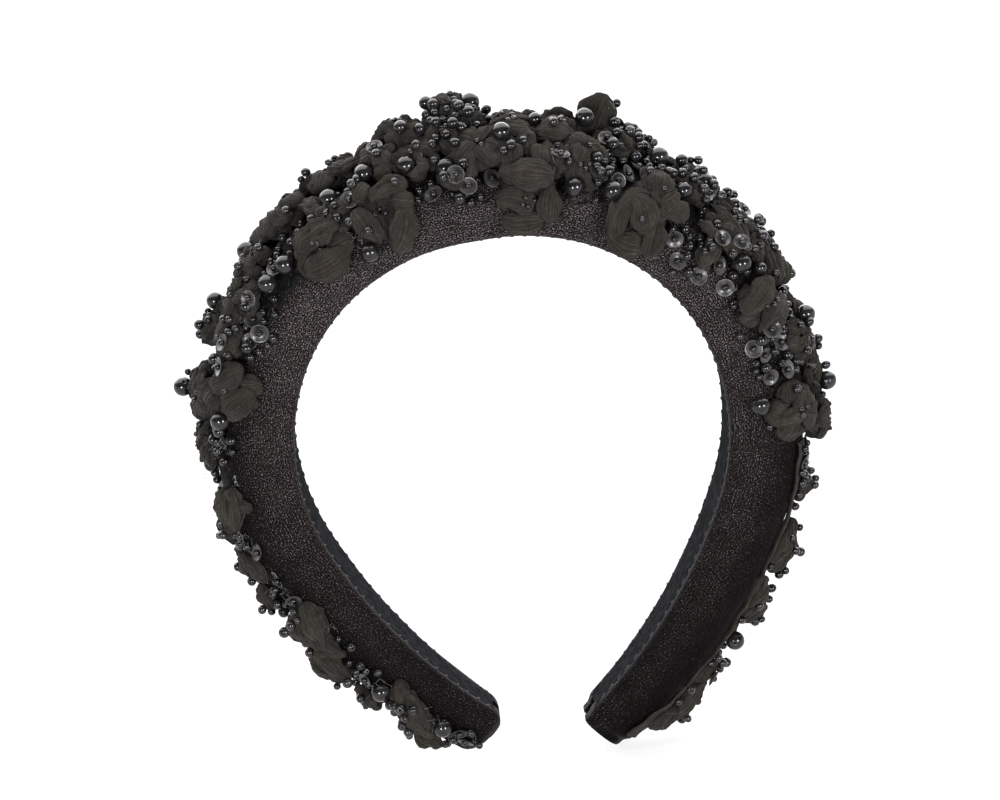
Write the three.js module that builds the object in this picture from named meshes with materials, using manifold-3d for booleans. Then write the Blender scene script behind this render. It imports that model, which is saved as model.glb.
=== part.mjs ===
// A padded velvet headband with a beaded chiffon-rose applique over its outer face.
// Millimetres. +Z is up as worn, the front of the head looks along -Y, and the origin is the
// middle of the lining's inner face at the crown. The two arms hang down on the -X and +X sides.
import * as THREE from "three";
import { mergeVertices } from "three/addons/utils/BufferGeometryUtils.js";
import Module from "manifold-3d";

// Inner curve of one arm: a short flat at the crown, then three tangent arcs down to the tip.
// The last arc only runs as far as each arm is long, and the +X arm is the longer one.
const CROWN_FLAT = 4;
const ARM_ARCS = [
  { radius: 62, turn: 70 },
  { radius: 72, turn: 44 },
  { radius: 185, turn: 30 },
];
const LEFT_ARM = 214;
const RIGHT_ARM = 220;
// The D-shaped pad: width front to back and thickness outwards, at the crown and at the tips.
const CROWN_WIDTH = 40;
const TIP_WIDTH = 18;
const WIDTH_POWER = 1.6;
const CROWN_THICKNESS = 25;
const TIP_THICKNESS = 17;
const THICKNESS_POWER = 3;
const DOME_POWER = 0.85;
const SHOULDER_HEIGHT = 4;
const CORNER = 2.5;
// Where the corner's middle point lies, as shares of the corner and of the shoulder.
const CORNER_BULGE = 0.3;
const CORNER_RISE = 0.4;
const TIP_ROUNDING = 6;
const TIP_PIVOT = 0.4;
// How far the tips draw in: the left arm's end is rounded, the right arm's is cut nearly flat.
const SMALLEST_TIP = 0.35;
const SMALLEST_CUT_TIP = 0.86;
const TIP_STEPS = [3.5, 1.5];
const SHORTEST_STEP = 0.5;
// Layers, from the lining's inner face outwards.
const GAP = 0.3;
const LINING_THICKNESS = 0.8;
const LINING_INSET = 3.5;
const LINING_END = 5;
const CLOTH = 0.8;
const TIP_TRIM = 0.5;
const HEM_WIDTH = 7;
const SLOT_END = TIP_ROUNDING + 2;
const HEM_BASE = LINING_THICKNESS + GAP;
const CORE_THICKNESS = 1.6;
const CORE_SHARE = 0.62;
const CORE_END = 9;
const CORE_BASE = HEM_BASE + CLOTH + GAP;
const THREAD_RADIUS = 0.3;
const THREAD_LIFT = 0.05;
const NET_THICKNESS = 0.5;
const NET_END = 7;
const WEDGE_REACH = 12;
const TRIM_CLEARANCE = GAP + NET_THICKNESS + GAP;
const TRIM_GAP = GAP + 0.1;
const KEEP_OUT_BASE = -1;
const KEEP_OUT_END = -1;
// The sewn-on pieces.
const PETAL_COUNT = 5;
const SPOKES_PER_PETAL = 3;
const LOBE_DEPTH = 0.2;
const ROSE_THICKNESS = 0.34;
// Share of the radius and of the thickness, from the underside, round the rim, to the dimple.
const ROSE_PROFILE = [
  [0.5, -1],
  [1, -0.15],
  [0.82, 0.75],
  [0.5, 1],
  [0.16, 0.5],
];
const PEARL_RADIUS = 3;
const RUFFLE_THICKNESS = 0.6;
const RUFFLE_TRIM = 3;
const RUFFLE_HEIGHT = 4;
const RUFFLE_WAVE = 3;
const RUFFLE_PITCH = 17;
const RUFFLE_STEPS = 26;
const STATIONS_PER_ARM = 14;
const DOME_STEPS = 8;
const WEDGE_STEPS = 3;
// How far to each side, in millimetres or degrees, the pad's slope is taken.
const SLOPE_STEP = 0.5;
const UNIT_BALL = new THREE.SphereGeometry(1, 7, 4);
const UNIT_BEAD = new THREE.IcosahedronGeometry(1, 0);

const COLOURS = {
  velvet: { color: 0x0d0c0e, roughness: 0.9, metalness: 0 },
  foam: { color: 0x2b2b2d, roughness: 1, metalness: 0 },
  plastic: { color: 0x151515, roughness: 0.45, metalness: 0 },
  lining: { color: 0x2c2e33, roughness: 0.6, metalness: 0 },
  net: { color: 0x1a1b1a, roughness: 0.85, metalness: 0 },
  chiffon: { color: 0x24231f, roughness: 0.85, metalness: 0 },
  thread: { color: 0x101012, roughness: 0.7, metalness: 0 },
  pearl: { color: 0x0a0a0b, roughness: 0.12, metalness: 0.2 },
  sequin: { color: 0x222326, roughness: 0.25, metalness: 0.3 },
};

// How far round the section, in degrees of lean, the net reaches at places along the band.
// Distances run from the crown, positive towards +X, and a positive lean is towards the front.
const NET_FRONT_EDGE = [
  [-220, 75],
  [-150, 66],
  [-138, 50],
  [-122, 42],
  [-92, 48],
  [-60, 58],
  [0, 68],
  [98, 70],
  [112, 10],
  [176, 6],
  [196, 12],
  [230, 30],
];
const NET_BACK_EDGE = [
  [-220, -50],
  [-100, -45],
  [0, -58],
  [100, -45],
  [230, -50],
];
const RUFFLE_EDGE = [
  [118, 24],
  [132, 18],
  [176, 16],
  [196, 26],
  [215, 46],
];

// Rolled roses: place, radius, turn of the lobes, and height of the middle above the pad.
const FLOWERS = [
  { along: 13, lean: 62, radius: 12, turn: 10, height: 5.4 },
  { along: -24, lean: 56, radius: 10.5, turn: 40, height: 5 },
  { along: -40, lean: 56, radius: 11, turn: 15, height: 5.2 },
  { along: 41, lean: 69, radius: 12, turn: 30, height: 5.4 },
  { along: 79, lean: 48, radius: 10, turn: 0, height: 5 },
  { along: 107, lean: 47, radius: 10, turn: 20, height: 4.9 },
  { along: -81, lean: 50, radius: 10, turn: 50, height: 4.9 },
  { along: -44, lean: -4, radius: 9.5, turn: 5, height: 6 },
  { along: -15, lean: -2, radius: 9.5, turn: 25, height: 10 },
  { along: 25, lean: 28, radius: 8.5, turn: 60, height: 5.6 },
  { along: 61, lean: 24, radius: 10.5, turn: 12, height: 5 },
  { along: 112, lean: 6, radius: 8, turn: 33, height: 6 },
  { along: -86, lean: 14, radius: 8, turn: 48, height: 5.6 },
  { along: -62, lean: 22, radius: 8.5, turn: 20, height: 5 },
  { along: -4, lean: -14, radius: 7.5, turn: 55, height: 14 },
  { along: 3, lean: 26, radius: 9, turn: 0, height: 5.6 },
  { along: 43, lean: 42, radius: 8, turn: 22, height: 5 },
  { along: 75, lean: -3, radius: 9, turn: 44, height: 5 },
  { along: -24, lean: -16, radius: 9.5, turn: 14, height: 5.6 },
  { along: -52, lean: -38, radius: 11, turn: 8, height: 5 },
  { along: -16, lean: -52, radius: 12, turn: 36, height: 5.2 },
  { along: 20, lean: -46, radius: 12, turn: 18, height: 5.2 },
  { along: 54, lean: -40, radius: 11, turn: 52, height: 5 },
  { along: 90, lean: -34, radius: 10, turn: 27, height: 4.8 },
];

// Single folded petals: half length along the band, half width, half height, twist.
const PETALS = [
  { along: 27, lean: -14, long: 6, wide: 5, high: 8.5, twist: 20, height: 9.2 },
  { along: -112, lean: 36, long: 8, wide: 5, high: 2.6, twist: 10, height: 3.8 },
  { along: -149, lean: 50, long: 9, wide: 5, high: 2.8, twist: 15, height: 4 },
  { along: -162, lean: 28, long: 8, wide: 5, high: 2.8, twist: -15, height: 4 },
  { along: -189, lean: 56, long: 8.5, wide: 4.6, high: 2.8, twist: 12, height: 4 },
  { along: 146, lean: -2, long: 9, wide: 5, high: 3, twist: 10, height: 4.2 },
  { along: 165, lean: -4, long: 8, wide: 4.6, high: 3, twist: -20, height: 4.2 },
  { along: 198, lean: 2, long: 10, wide: 4.6, high: 3, twist: 8, height: 4.2 },
];

const PEARLS = [
  { along: -86, lean: -4, height: 11 },
  { along: -55, lean: 41, height: 4.4 },
  { along: -49, lean: 43, height: 4.6 },
  { along: -31, lean: 78, height: 4.4 },
  { along: -24, lean: 22, height: 6 },
  { along: -33, lean: 22, height: 4.6 },
  { along: -7, lean: 40, height: 5 },
  { along: 24, lean: 59, height: 4.6 },
  { along: 33, lean: 55, height: 4.6 },
  { along: 68, lean: 45, height: 5 },
  { along: 103, lean: 77, height: 4.4 },
  { along: 104, lean: 4, height: 8.5 },
];

// Groups of seed beads and cup sequins sewn on a scrap of net.
const CLUSTERS = [
  { along: -67, lean: 46, radius: 6.5, turn: 0 },
  { along: -96, lean: 34, radius: 5, turn: 30 },
  { along: -172, lean: 50, radius: 5, turn: 15 },
  { along: -205, lean: 60, radius: 4.5, turn: 50 },
  { along: 36, lean: 8, radius: 7, turn: 10 },
  { along: 60, lean: 63, radius: 6.5, turn: 40 },
  { along: 93, lean: 60, radius: 6.5, turn: 20 },
  { along: 181, lean: 0, radius: 5, turn: 5 },
];
const CLUSTER_BEADS = 4;
const CLUSTER_HEIGHT = 2.4;
const BEAD_RADIUS = 1.6;
const SEQUIN_RADIUS = 3;
const SEQUIN_DEPTH = 1.4;
const SEQUIN_FOOT_SHARE = 0.6;
const SEQUIN_SIDES = 7;
const SCRAP_HEIGHT = 1.2;
const SCRAP_WIDTH_SHARE = 0.8;
const BEAD_RING_SHARE = 0.65;

const wasm = await Module();
wasm.setup();

function degrees(angle) {
  return THREE.MathUtils.degToRad(angle);
}

// The inner curve's point and heading, turned down from the crown, a distance along the band.
function curveAt(along) {
  let left = Math.abs(along);
  const start = Math.min(left, CROWN_FLAT);
  let x = start;
  let z = 0;
  let heading = 0;
  left -= start;
  ARM_ARCS.forEach((arc, i) => {
    const last = i === ARM_ARCS.length - 1;
    const length = last ? left : Math.min(left, arc.radius * degrees(arc.turn));
    const turned = heading + length / arc.radius;
    x += arc.radius * (Math.sin(turned) - Math.sin(heading));
    z -= arc.radius * (Math.cos(heading) - Math.cos(turned));
    heading = turned;
    left -= length;
  });
  const side = Math.sign(along) || 1;
  return { x: side * x, z, heading: side * heading };
}

// A point of the band's own space: along it, across it towards the back, and out from its inner face.
function bandPoint(along, across, out) {
  const at = curveAt(along);
  return new THREE.Vector3(
    at.x + Math.sin(at.heading) * out,
    across,
    at.z + Math.cos(at.heading) * out,
  );
}

function armLength(along) {
  return along < 0 ? LEFT_ARM : RIGHT_ARM;
}

function tipShare(along) {
  return Math.min(1, Math.abs(along) / armLength(along));
}

function padWidth(along) {
  return TIP_WIDTH + (CROWN_WIDTH - TIP_WIDTH) * (1 - tipShare(along) ** WIDTH_POWER);
}

function padThickness(along) {
  return TIP_THICKNESS + (CROWN_THICKNESS - TIP_THICKNESS) * (1 - tipShare(along) ** THICKNESS_POWER);
}

// A point on the pad's dome at a lean, positive to the front, with the section grown by an offset.
function domePoint(along, lean, offset) {
  const angle = degrees(lean);
  const rise = padThickness(along) - SHOULDER_HEIGHT + offset;
  return new THREE.Vector2(
    -Math.sign(angle) * (padWidth(along) / 2 + offset) * Math.abs(Math.sin(angle)) ** DOME_POWER,
    SHOULDER_HEIGHT + rise * Math.abs(Math.cos(angle)) ** DOME_POWER,
  );
}

// The pad's D section grown by an offset, with its own flat base height, drawn in towards the tips.
function padOutline(along, offset, base, tipInset) {
  const half = padWidth(along) / 2 + offset;
  const side = half - CORNER * CORNER_BULGE;
  const rise = base + (SHOULDER_HEIGHT - base) * CORNER_RISE;
  const points = [
    new THREE.Vector2(-half + CORNER, base),
    new THREE.Vector2(half - CORNER, base),
    new THREE.Vector2(side, rise),
  ];
  for (let i = 0; i <= DOME_STEPS; i++) points.push(domePoint(along, -90 + (180 * i) / DOME_STEPS, offset));
  points.push(new THREE.Vector2(-side, rise));
  const pivot = padThickness(along) * TIP_PIVOT;
  const scale = tipScale(along, tipInset);
  return points.map((p) => new THREE.Vector2(p.x * scale, pivot + (p.y - pivot) * scale));
}

// 1 along the band, falling on a quarter circle over the last stretch before the tip.
function tipScale(along, inset) {
  const left = (armLength(along) - inset - Math.abs(along)) / TIP_ROUNDING;
  if (left >= 1) return 1;
  const smallest = along < 0 ? SMALLEST_TIP : SMALLEST_CUT_TIP;
  return Math.max(smallest, Math.sqrt(Math.max(0, 1 - (1 - left) ** 2)));
}

function rectangle(left, right, bottom, top) {
  return [
    new THREE.Vector2(left, bottom),
    new THREE.Vector2(right, bottom),
    new THREE.Vector2(right, top),
    new THREE.Vector2(left, top),
  ];
}

// Places along the band from one end to the other, even between the crown's flat and the tips.
// The ends stand back from the tips by an inset, and a rounded end has two places more.
function stations(inset, rounded = false) {
  const arm = (length) => {
    const end = length - inset;
    const even = Array.from(
      { length: STATIONS_PER_ARM + 1 },
      (_, i) => CROWN_FLAT + ((length - TIP_ROUNDING - CROWN_FLAT) * i) / STATIONS_PER_ARM,
    );
    const close = rounded ? TIP_STEPS.map((step) => end - step) : [];
    return [...even, ...close].filter((s) => s < end - SHORTEST_STEP).concat(end).sort((a, b) => a - b);
  };
  return [...arm(LEFT_ARM).map((s) => -s).reverse(), ...arm(RIGHT_ARM)];
}

// A closed skin through one outline per station, capped at both ends.
function loft(places, outlineAt) {
  const positions = [];
  const indices = [];
  const rings = places.map((along) => outlineAt(along));
  const count = rings[0].length;
  rings.forEach((ring, i) => {
    ring.forEach((p) => positions.push(...bandPoint(places[i], p.x, p.y).toArray()));
  });
  for (let i = 0; i + 1 < rings.length; i++) {
    for (let j = 0; j < count; j++) {
      const a = i * count + j;
      const b = i * count + ((j + 1) % count);
      indices.push(a, b, b + count, a, b + count, a + count);
    }
  }
  const end = (rings.length - 1) * count;
  for (const [a, b, c] of THREE.ShapeUtils.triangulateShape(rings[0], [])) indices.push(a, c, b);
  for (const [a, b, c] of THREE.ShapeUtils.triangulateShape(rings.at(-1), [])) {
    indices.push(end + a, end + b, end + c);
  }
  const geometry = new THREE.BufferGeometry();
  geometry.setAttribute("position", new THREE.Float32BufferAttribute(positions, 3));
  geometry.setIndex(indices);
  return geometry;
}

function solidOf(geometry) {
  const bare = new THREE.BufferGeometry();
  bare.setAttribute("position", geometry.getAttribute("position"));
  if (geometry.index) bare.setIndex(geometry.index);
  const merged = mergeVertices(bare, 1e-4);
  return new wasm.Manifold(
    new wasm.Mesh({
      numProp: 3,
      vertProperties: new Float32Array(merged.attributes.position.array),
      triVerts: new Uint32Array(merged.index.array),
    }),
  );
}

function geometryOf(solid) {
  const mesh = solid.getMesh();
  const geometry = new THREE.BufferGeometry();
  geometry.setAttribute("position", new THREE.Float32BufferAttribute(mesh.vertProperties, 3));
  geometry.setIndex(new THREE.BufferAttribute(mesh.triVerts, 1));
  const faceted = geometry.toNonIndexed();
  faceted.computeVertexNormals();
  return faceted;
}

function union(solids) {
  return solids.reduce((sum, solid) => sum.add(solid));
}

// Cuts only leave the largest piece: slivers nipped off by a neighbour aren't part of a petal.
function largest(solid) {
  return solid.decompose().reduce((a, b) => (b.volume() > a.volume() ? b : a));
}

// A frame standing on the pad: x along the band, y across to the front, z out from the cloth.
function standOn(along, lean, height, turn = 0) {
  const at = (s, a) => {
    const p = domePoint(s, a, 0);
    return bandPoint(s, p.x, p.y);
  };
  const origin = at(along, lean);
  const xAxis = at(along + SLOPE_STEP, lean).sub(at(along - SLOPE_STEP, lean)).normalize();
  const toFront = at(along, lean + SLOPE_STEP).sub(at(along, lean - SLOPE_STEP));
  const zAxis = new THREE.Vector3().crossVectors(toFront, xAxis).normalize();
  const yAxis = new THREE.Vector3().crossVectors(zAxis, xAxis);
  const frame = new THREE.Matrix4().makeBasis(xAxis, yAxis, zAxis);
  frame.setPosition(origin.addScaledVector(zAxis, height));
  return frame.multiply(new THREE.Matrix4().makeRotationZ(degrees(turn)));
}

function ellipsoid(frame, centre, halves, yaw = 0, unit = UNIT_BALL) {
  const turned = new THREE.Quaternion().setFromEuler(new THREE.Euler(0, 0, degrees(yaw)));
  const local = new THREE.Matrix4().compose(centre, turned, halves);
  return solidOf(unit.clone().applyMatrix4(new THREE.Matrix4().multiplyMatrices(frame, local)));
}

// A point over the pad, a step in millimetres away from a place, along the band and to the front.
function overPad(spec, forward, toFront, height) {
  const at = (s, a) => {
    const p = domePoint(s, a, 0);
    return bandPoint(s, p.x, p.y);
  };
  const { along, lean } = spec;
  const perAlong = at(along + 1, lean).distanceTo(at(along - 1, lean)) / 2;
  const perDegree = at(along, lean + 1).distanceTo(at(along, lean - 1)) / 2;
  const frame = standOn(along + forward / perAlong, lean + toFront / perDegree, height);
  return new THREE.Vector3().setFromMatrixPosition(frame);
}

// One rolled rose: a puffy button with lobes for its petals and a dimple, bent to follow the pad.
// It is grown a little where a neighbour has to be cut back to clear it.
function rose(spec, grow = 0) {
  const spokes = PETAL_COUNT * SPOKES_PER_PETAL;
  const thick = spec.radius * ROSE_THICKNESS + grow;
  const positions = [];
  const indices = [];
  ROSE_PROFILE.forEach(([out, up], ring) => {
    for (let i = 0; i < spokes; i++) {
      const around = (2 * Math.PI * i) / spokes;
      const lobe = 1 - LOBE_DEPTH * Math.abs(Math.sin((around * PETAL_COUNT) / 2)) ** 2;
      const reach = out * (spec.radius * lobe + grow);
      const angle = around + degrees(spec.turn);
      const height = spec.height + up * thick;
      positions.push(...overPad(spec, reach * Math.cos(angle), reach * Math.sin(angle), height).toArray());
      if (ring === 0) continue;
      const a = (ring - 1) * spokes + i;
      const b = (ring - 1) * spokes + ((i + 1) % spokes);
      indices.push(a, a + spokes, b + spokes, a, b + spokes, b);
    }
  });
  for (const [ring, flip] of [[0, true], [ROSE_PROFILE.length - 1, false]]) {
    for (let i = 1; i + 1 < spokes; i++) {
      const first = ring * spokes;
      indices.push(first, first + i + (flip ? 0 : 1), first + i + (flip ? 1 : 0));
    }
  }
  const geometry = new THREE.BufferGeometry();
  geometry.setAttribute("position", new THREE.Float32BufferAttribute(positions, 3));
  geometry.setIndex(indices);
  return solidOf(geometry);
}

function petal(spec, grow = 0) {
  const frame = standOn(spec.along, spec.lean, spec.height, spec.twist);
  const halves = new THREE.Vector3(spec.long + grow, spec.wide + grow, spec.high + grow);
  return ellipsoid(frame, new THREE.Vector3(), halves);
}

function pearl(spec, grow = 0) {
  const radius = PEARL_RADIUS + grow;
  const frame = standOn(spec.along, spec.lean, spec.height);
  return ellipsoid(frame, new THREE.Vector3(), new THREE.Vector3(radius, radius, radius));
}

// A scrap of net with a ring of beads and one cup sequin on it.
function cluster(spec, grow = 0) {
  const frame = standOn(spec.along, spec.lean, CLUSTER_HEIGHT, spec.turn);
  const flat = new THREE.Vector3(
    spec.radius + grow,
    spec.radius * SCRAP_WIDTH_SHARE + grow,
    SCRAP_HEIGHT + grow,
  );
  const bead = new THREE.Vector3().setScalar(BEAD_RADIUS + grow);
  const parts = [ellipsoid(frame, new THREE.Vector3(), flat)];
  for (let i = 0; i < CLUSTER_BEADS; i++) {
    const around = (360 * i) / CLUSTER_BEADS;
    const centre = new THREE.Vector3(spec.radius * BEAD_RING_SHARE, 0, SCRAP_HEIGHT);
    centre.applyAxisAngle(new THREE.Vector3(0, 0, 1), degrees(around));
    parts.push(ellipsoid(frame, centre, bead, 0, UNIT_BEAD));
  }
  const rim = SEQUIN_RADIUS + grow;
  const disc = new THREE.CylinderGeometry(
    rim,
    rim * SEQUIN_FOOT_SHARE,
    SEQUIN_DEPTH + 2 * grow,
    SEQUIN_SIDES,
  );
  disc.rotateX(Math.PI / 2).translate(0, 0, SEQUIN_DEPTH).applyMatrix4(frame);
  parts.push(solidOf(disc));
  return union(parts);
}

function edgeLean(edge, along) {
  const next = edge.findIndex(([s]) => s >= along);
  if (next <= 0) return edge[0][1];
  const [s0, lean0] = edge[next - 1];
  const [s1, lean1] = edge[next];
  return lean0 + ((lean1 - lean0) * (along - s0)) / (s1 - s0);
}

function velvetCover() {
  const outside = loft(stations(0, true), (s) => padOutline(s, 0, HEM_BASE, 0));
  const inside = loft(stations(CLOTH + TIP_TRIM, true), (s) =>
    padOutline(s, -CLOTH, HEM_BASE + CLOTH, CLOTH),
  );
  const slot = loft(stations(SLOT_END), (s) => {
    const half = padWidth(s) / 2 - HEM_WIDTH;
    return rectangle(-half, half, 0, CORE_BASE + GAP);
  });
  return solidOf(outside).subtract(solidOf(inside)).subtract(solidOf(slot));
}

function foamPad() {
  const inset = CLOTH + GAP;
  const pad = loft(stations(inset + TIP_TRIM, true), (s) => padOutline(s, -inset, CORE_BASE, inset));
  const groove = loft(stations(CORE_END - GAP), (s) => {
    const half = (padWidth(s) * CORE_SHARE) / 2 + GAP;
    return rectangle(-half, half, 0, CORE_BASE + CORE_THICKNESS + GAP);
  });
  return solidOf(pad).subtract(solidOf(groove));
}

function bandCore() {
  return solidOf(
    loft(stations(CORE_END), (s) => {
      const half = (padWidth(s) * CORE_SHARE) / 2;
      return rectangle(-half, half, CORE_BASE, CORE_BASE + CORE_THICKNESS);
    }),
  );
}

function liningHalf(along) {
  return padWidth(along) / 2 - LINING_INSET;
}

function liningStrip() {
  return solidOf(
    loft(stations(LINING_END), (s) =>
      rectangle(-liningHalf(s), liningHalf(s), 0, LINING_THICKNESS),
    ),
  );
}

// The sewing thread that runs beside one long edge of the lining.
function liningThread(side) {
  return solidOf(
    loft(stations(LINING_END), (s) => {
      const middle = side * (liningHalf(s) + GAP + THREAD_RADIUS);
      const height = LINING_THICKNESS / 2 + THREAD_LIFT;
      return [
        new THREE.Vector2(middle - THREAD_RADIUS, height),
        new THREE.Vector2(middle, height - THREAD_RADIUS),
        new THREE.Vector2(middle + THREAD_RADIUS, height),
        new THREE.Vector2(middle, height + THREAD_RADIUS),
      ];
    }),
  );
}

// The net is the part of a thin shell over the pad that lies between its two edge leans.
function appliqueNet() {
  const places = stations(0, true);
  const shell = (offset) => solidOf(loft(places, (s) => padOutline(s, offset, HEM_BASE - offset, 0)));
  const wedge = loft(stations(NET_END), (s) => {
    const back = edgeLean(NET_BACK_EDGE, s);
    const front = edgeLean(NET_FRONT_EDGE, s);
    const rim = Array.from({ length: WEDGE_STEPS + 1 }, (_, i) =>
      domePoint(s, back + ((front - back) * i) / WEDGE_STEPS, WEDGE_REACH),
    );
    return [...rim, new THREE.Vector2(0, SHOULDER_HEIGHT)];
  });
  return shell(GAP + NET_THICKNESS).subtract(shell(GAP)).intersect(solidOf(wedge));
}

// A wavy strip of folded chiffon that stands on edge along the front of the net on the +X arm.
function edgeRuffle(grow = 0) {
  const start = RUFFLE_EDGE[0][0];
  const end = RUFFLE_EDGE.at(-1)[0] - RUFFLE_TRIM;
  const places = Array.from(
    { length: RUFFLE_STEPS + 1 },
    (_, i) => start + ((end - start) * i) / RUFFLE_STEPS,
  );
  return solidOf(
    loft(places, (s) => {
      const lean = edgeLean(RUFFLE_EDGE, s) + RUFFLE_WAVE * Math.sin((2 * Math.PI * s) / RUFFLE_PITCH);
      const foot = domePoint(s, lean, GAP - grow);
      const top = domePoint(s, lean, GAP + RUFFLE_HEIGHT + grow);
      const half = new THREE.Vector2(RUFFLE_THICKNESS / 2 + grow, 0);
      return [
        foot.clone().sub(half),
        foot.clone().add(half),
        top.clone().add(half),
        top.clone().sub(half),
      ];
    }),
  );
}

// Everything that the sewn-on pieces have to stay above: the pad, its cover and the net.
function keepOut() {
  return solidOf(loft(stations(0, true), (s) => padOutline(s, TRIM_CLEARANCE, KEEP_OUT_BASE, KEEP_OUT_END)));
}

const group = new THREE.Group();

function addNode(name, solid, look) {
  const mesh = new THREE.Mesh(geometryOf(solid), new THREE.MeshStandardMaterial(COLOURS[look]));
  mesh.name = name;
  group.add(mesh);
}

function numbered(stem, index) {
  return `${stem}_${String(index + 1).padStart(2, "0")}`;
}

addNode("band_core", bandCore(), "plastic");
addNode("foam_pad", foamPad(), "foam");
addNode("velvet_cover", velvetCover(), "velvet");
addNode("lining_strip", liningStrip(), "lining");
addNode("lining_thread_front", liningThread(-1), "thread");
addNode("lining_thread_back", liningThread(1), "thread");
addNode("applique_net", appliqueNet(), "net");
addNode("edge_ruffle", edgeRuffle(), "chiffon");

// Pearls stay whole; each later piece is cut back from everything placed before it.
const taken = [keepOut(), edgeRuffle(GAP), ...PEARLS.map((spec) => pearl(spec, TRIM_GAP))];

function place(stem, index, make, spec, look) {
  const cut = largest(taken.reduce((solid, other) => solid.subtract(other), make(spec)));
  addNode(numbered(stem, index), cut, look);
  taken.push(make(spec, TRIM_GAP));
}

PEARLS.forEach((spec, i) => addNode(numbered("pearl", i), pearl(spec), "pearl"));
FLOWERS.forEach((spec, i) => place("flower", i, rose, spec, "chiffon"));
PETALS.forEach((spec, i) => place("petal", i, petal, spec, "chiffon"));
CLUSTERS.forEach((spec, i) => place("bead_cluster", i, cluster, spec, "sequin"));

export default group;
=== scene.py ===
"""Looks of the headband: velvet pad, lining, net, chiffon roses, pearls, seed beads and sequins.

The band has its own space, in millimetres: a distance along it from the crown, positive towards
+X; a lean round its section in degrees, positive towards the front; and a height above the pad.
Points are worked out in that space and turned into metres when a mesh is made.
"""

import math
import random

import bpy
import numpy as np
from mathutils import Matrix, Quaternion, Vector
from mathutils.bvhtree import BVHTree


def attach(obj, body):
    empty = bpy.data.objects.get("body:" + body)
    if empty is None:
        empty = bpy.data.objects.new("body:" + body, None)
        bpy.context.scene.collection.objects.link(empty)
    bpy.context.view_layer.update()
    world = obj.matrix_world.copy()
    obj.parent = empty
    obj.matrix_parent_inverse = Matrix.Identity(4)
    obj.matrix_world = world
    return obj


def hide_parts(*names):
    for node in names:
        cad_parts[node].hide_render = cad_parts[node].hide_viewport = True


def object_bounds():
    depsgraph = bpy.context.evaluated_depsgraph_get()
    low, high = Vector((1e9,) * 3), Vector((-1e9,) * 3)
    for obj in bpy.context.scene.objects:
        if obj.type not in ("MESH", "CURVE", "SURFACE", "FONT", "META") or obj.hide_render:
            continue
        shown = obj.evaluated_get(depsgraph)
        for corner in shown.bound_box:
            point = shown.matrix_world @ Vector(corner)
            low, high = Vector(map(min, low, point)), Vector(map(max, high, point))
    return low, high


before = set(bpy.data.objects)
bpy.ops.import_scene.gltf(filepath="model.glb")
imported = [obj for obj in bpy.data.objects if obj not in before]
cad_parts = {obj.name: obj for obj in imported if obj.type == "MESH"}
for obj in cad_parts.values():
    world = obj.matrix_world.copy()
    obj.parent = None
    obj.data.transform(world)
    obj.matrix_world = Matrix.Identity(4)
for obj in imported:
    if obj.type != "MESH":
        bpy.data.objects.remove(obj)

CAD_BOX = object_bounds()
MM = 0.001

# The inner curve of one arm, the D-shaped pad and its layers. They are the CAD part's own numbers,
# except that the lining and the net are as thin as real cloth.
CROWN_FLAT = 4
ARM_ARCS = [(62, 70), (72, 44), (185, 30)]
LEFT_ARM = 214
RIGHT_ARM = 220
CROWN_WIDTH = 40
TIP_WIDTH = 18
WIDTH_POWER = 1.6
CROWN_THICKNESS = 25
TIP_THICKNESS = 17
THICKNESS_POWER = 3
DOME_POWER = 0.85
SHOULDER_HEIGHT = 4
CORNER = 2.5
TIP_PIVOT = 0.4
SMALLEST_TIP = 0.35  # the left tip is rounded
SMALLEST_CUT_TIP = 0.86  # the right tip is cut nearly flat
HEM_BASE = 1.1
HEM_WIDTH = 7
CLOTH = 0.8
CORE_BASE = 2.2
LINING_INSET = 3.5
LINING_END = 5
LINING_THICKNESS = 0.6
NET_HEIGHT = 0.35
NET_THICKNESS = 0.18
NET_END = 7
SIDE_DROP = 0.36  # millimetres down the pad's side for each degree of lean past 90

NET_FRONT_EDGE = [
    (-220, 75), (-150, 66), (-138, 50), (-122, 42), (-92, 48), (-60, 58), (0, 68), (98, 70),
    (112, 16), (176, 14), (196, 20), (230, 38),
]
NET_BACK_EDGE = [(-220, -50), (-100, -45), (0, -58), (100, -45), (230, -50)]
RUFFLE_WIDTH = 5.4
RUFFLE_LEANS_OUT = 10
RUFFLE_CLIMB = np.array([0, 0.2, 0.4, 0.6, 0.75, 0.87, 0.95, 1])
RUFFLE_EDGE = [(116, 30), (124, 22), (132, 18), (176, 16), (196, 26), (215, 46)]

# Rolled roses: along, lean, radius, turn, height of the middle, and how the chiffon is folded.
ROSES = [
    (13, 62, 12, 10, 5.4, "centre"), (-24, 56, 10.5, 40, 5, "frayed"),
    (-40, 56, 11, 15, 5.2, "folded"), (41, 69, 12, 30, 5.4, "wreath"),
    (79, 48, 10, 78, 5, "folded"), (107, 47, 10, 20, 4.9, "stacked"),
    (-81, 50, 10, 50, 4.9, "folded"), (-44, -4, 9.5, 5, 6, "open"),
    (-15, -2, 9.5, 25, 10, "stacked"), (25, 28, 8.5, 60, 5.6, "stacked"),
    (61, 24, 10.5, 12, 5, "ropes"), (112, 6, 8, 33, 6, "open"), (-86, 14, 8, 48, 5.6, "open"),
    (-62, 22, 8.5, 20, 5, "stacked"), (-4, -14, 7.5, 55, 14, "folded"),
    (3, 26, 9, 0, 5.6, "open"), (43, 42, 8, 22, 5, "stacked"), (75, -3, 9, 44, 5, "open"),
    (-24, -16, 9.5, 14, 5.6, "spiral"), (-52, -38, 11, 8, 5, "open"),
    (-16, -52, 12, 36, 5.2, "stacked"), (20, -46, 12, 18, 5.2, "open"),
    (54, -40, 11, 52, 5, "spiral"), (90, -34, 10, 27, 4.8, "open"),
]

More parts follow.
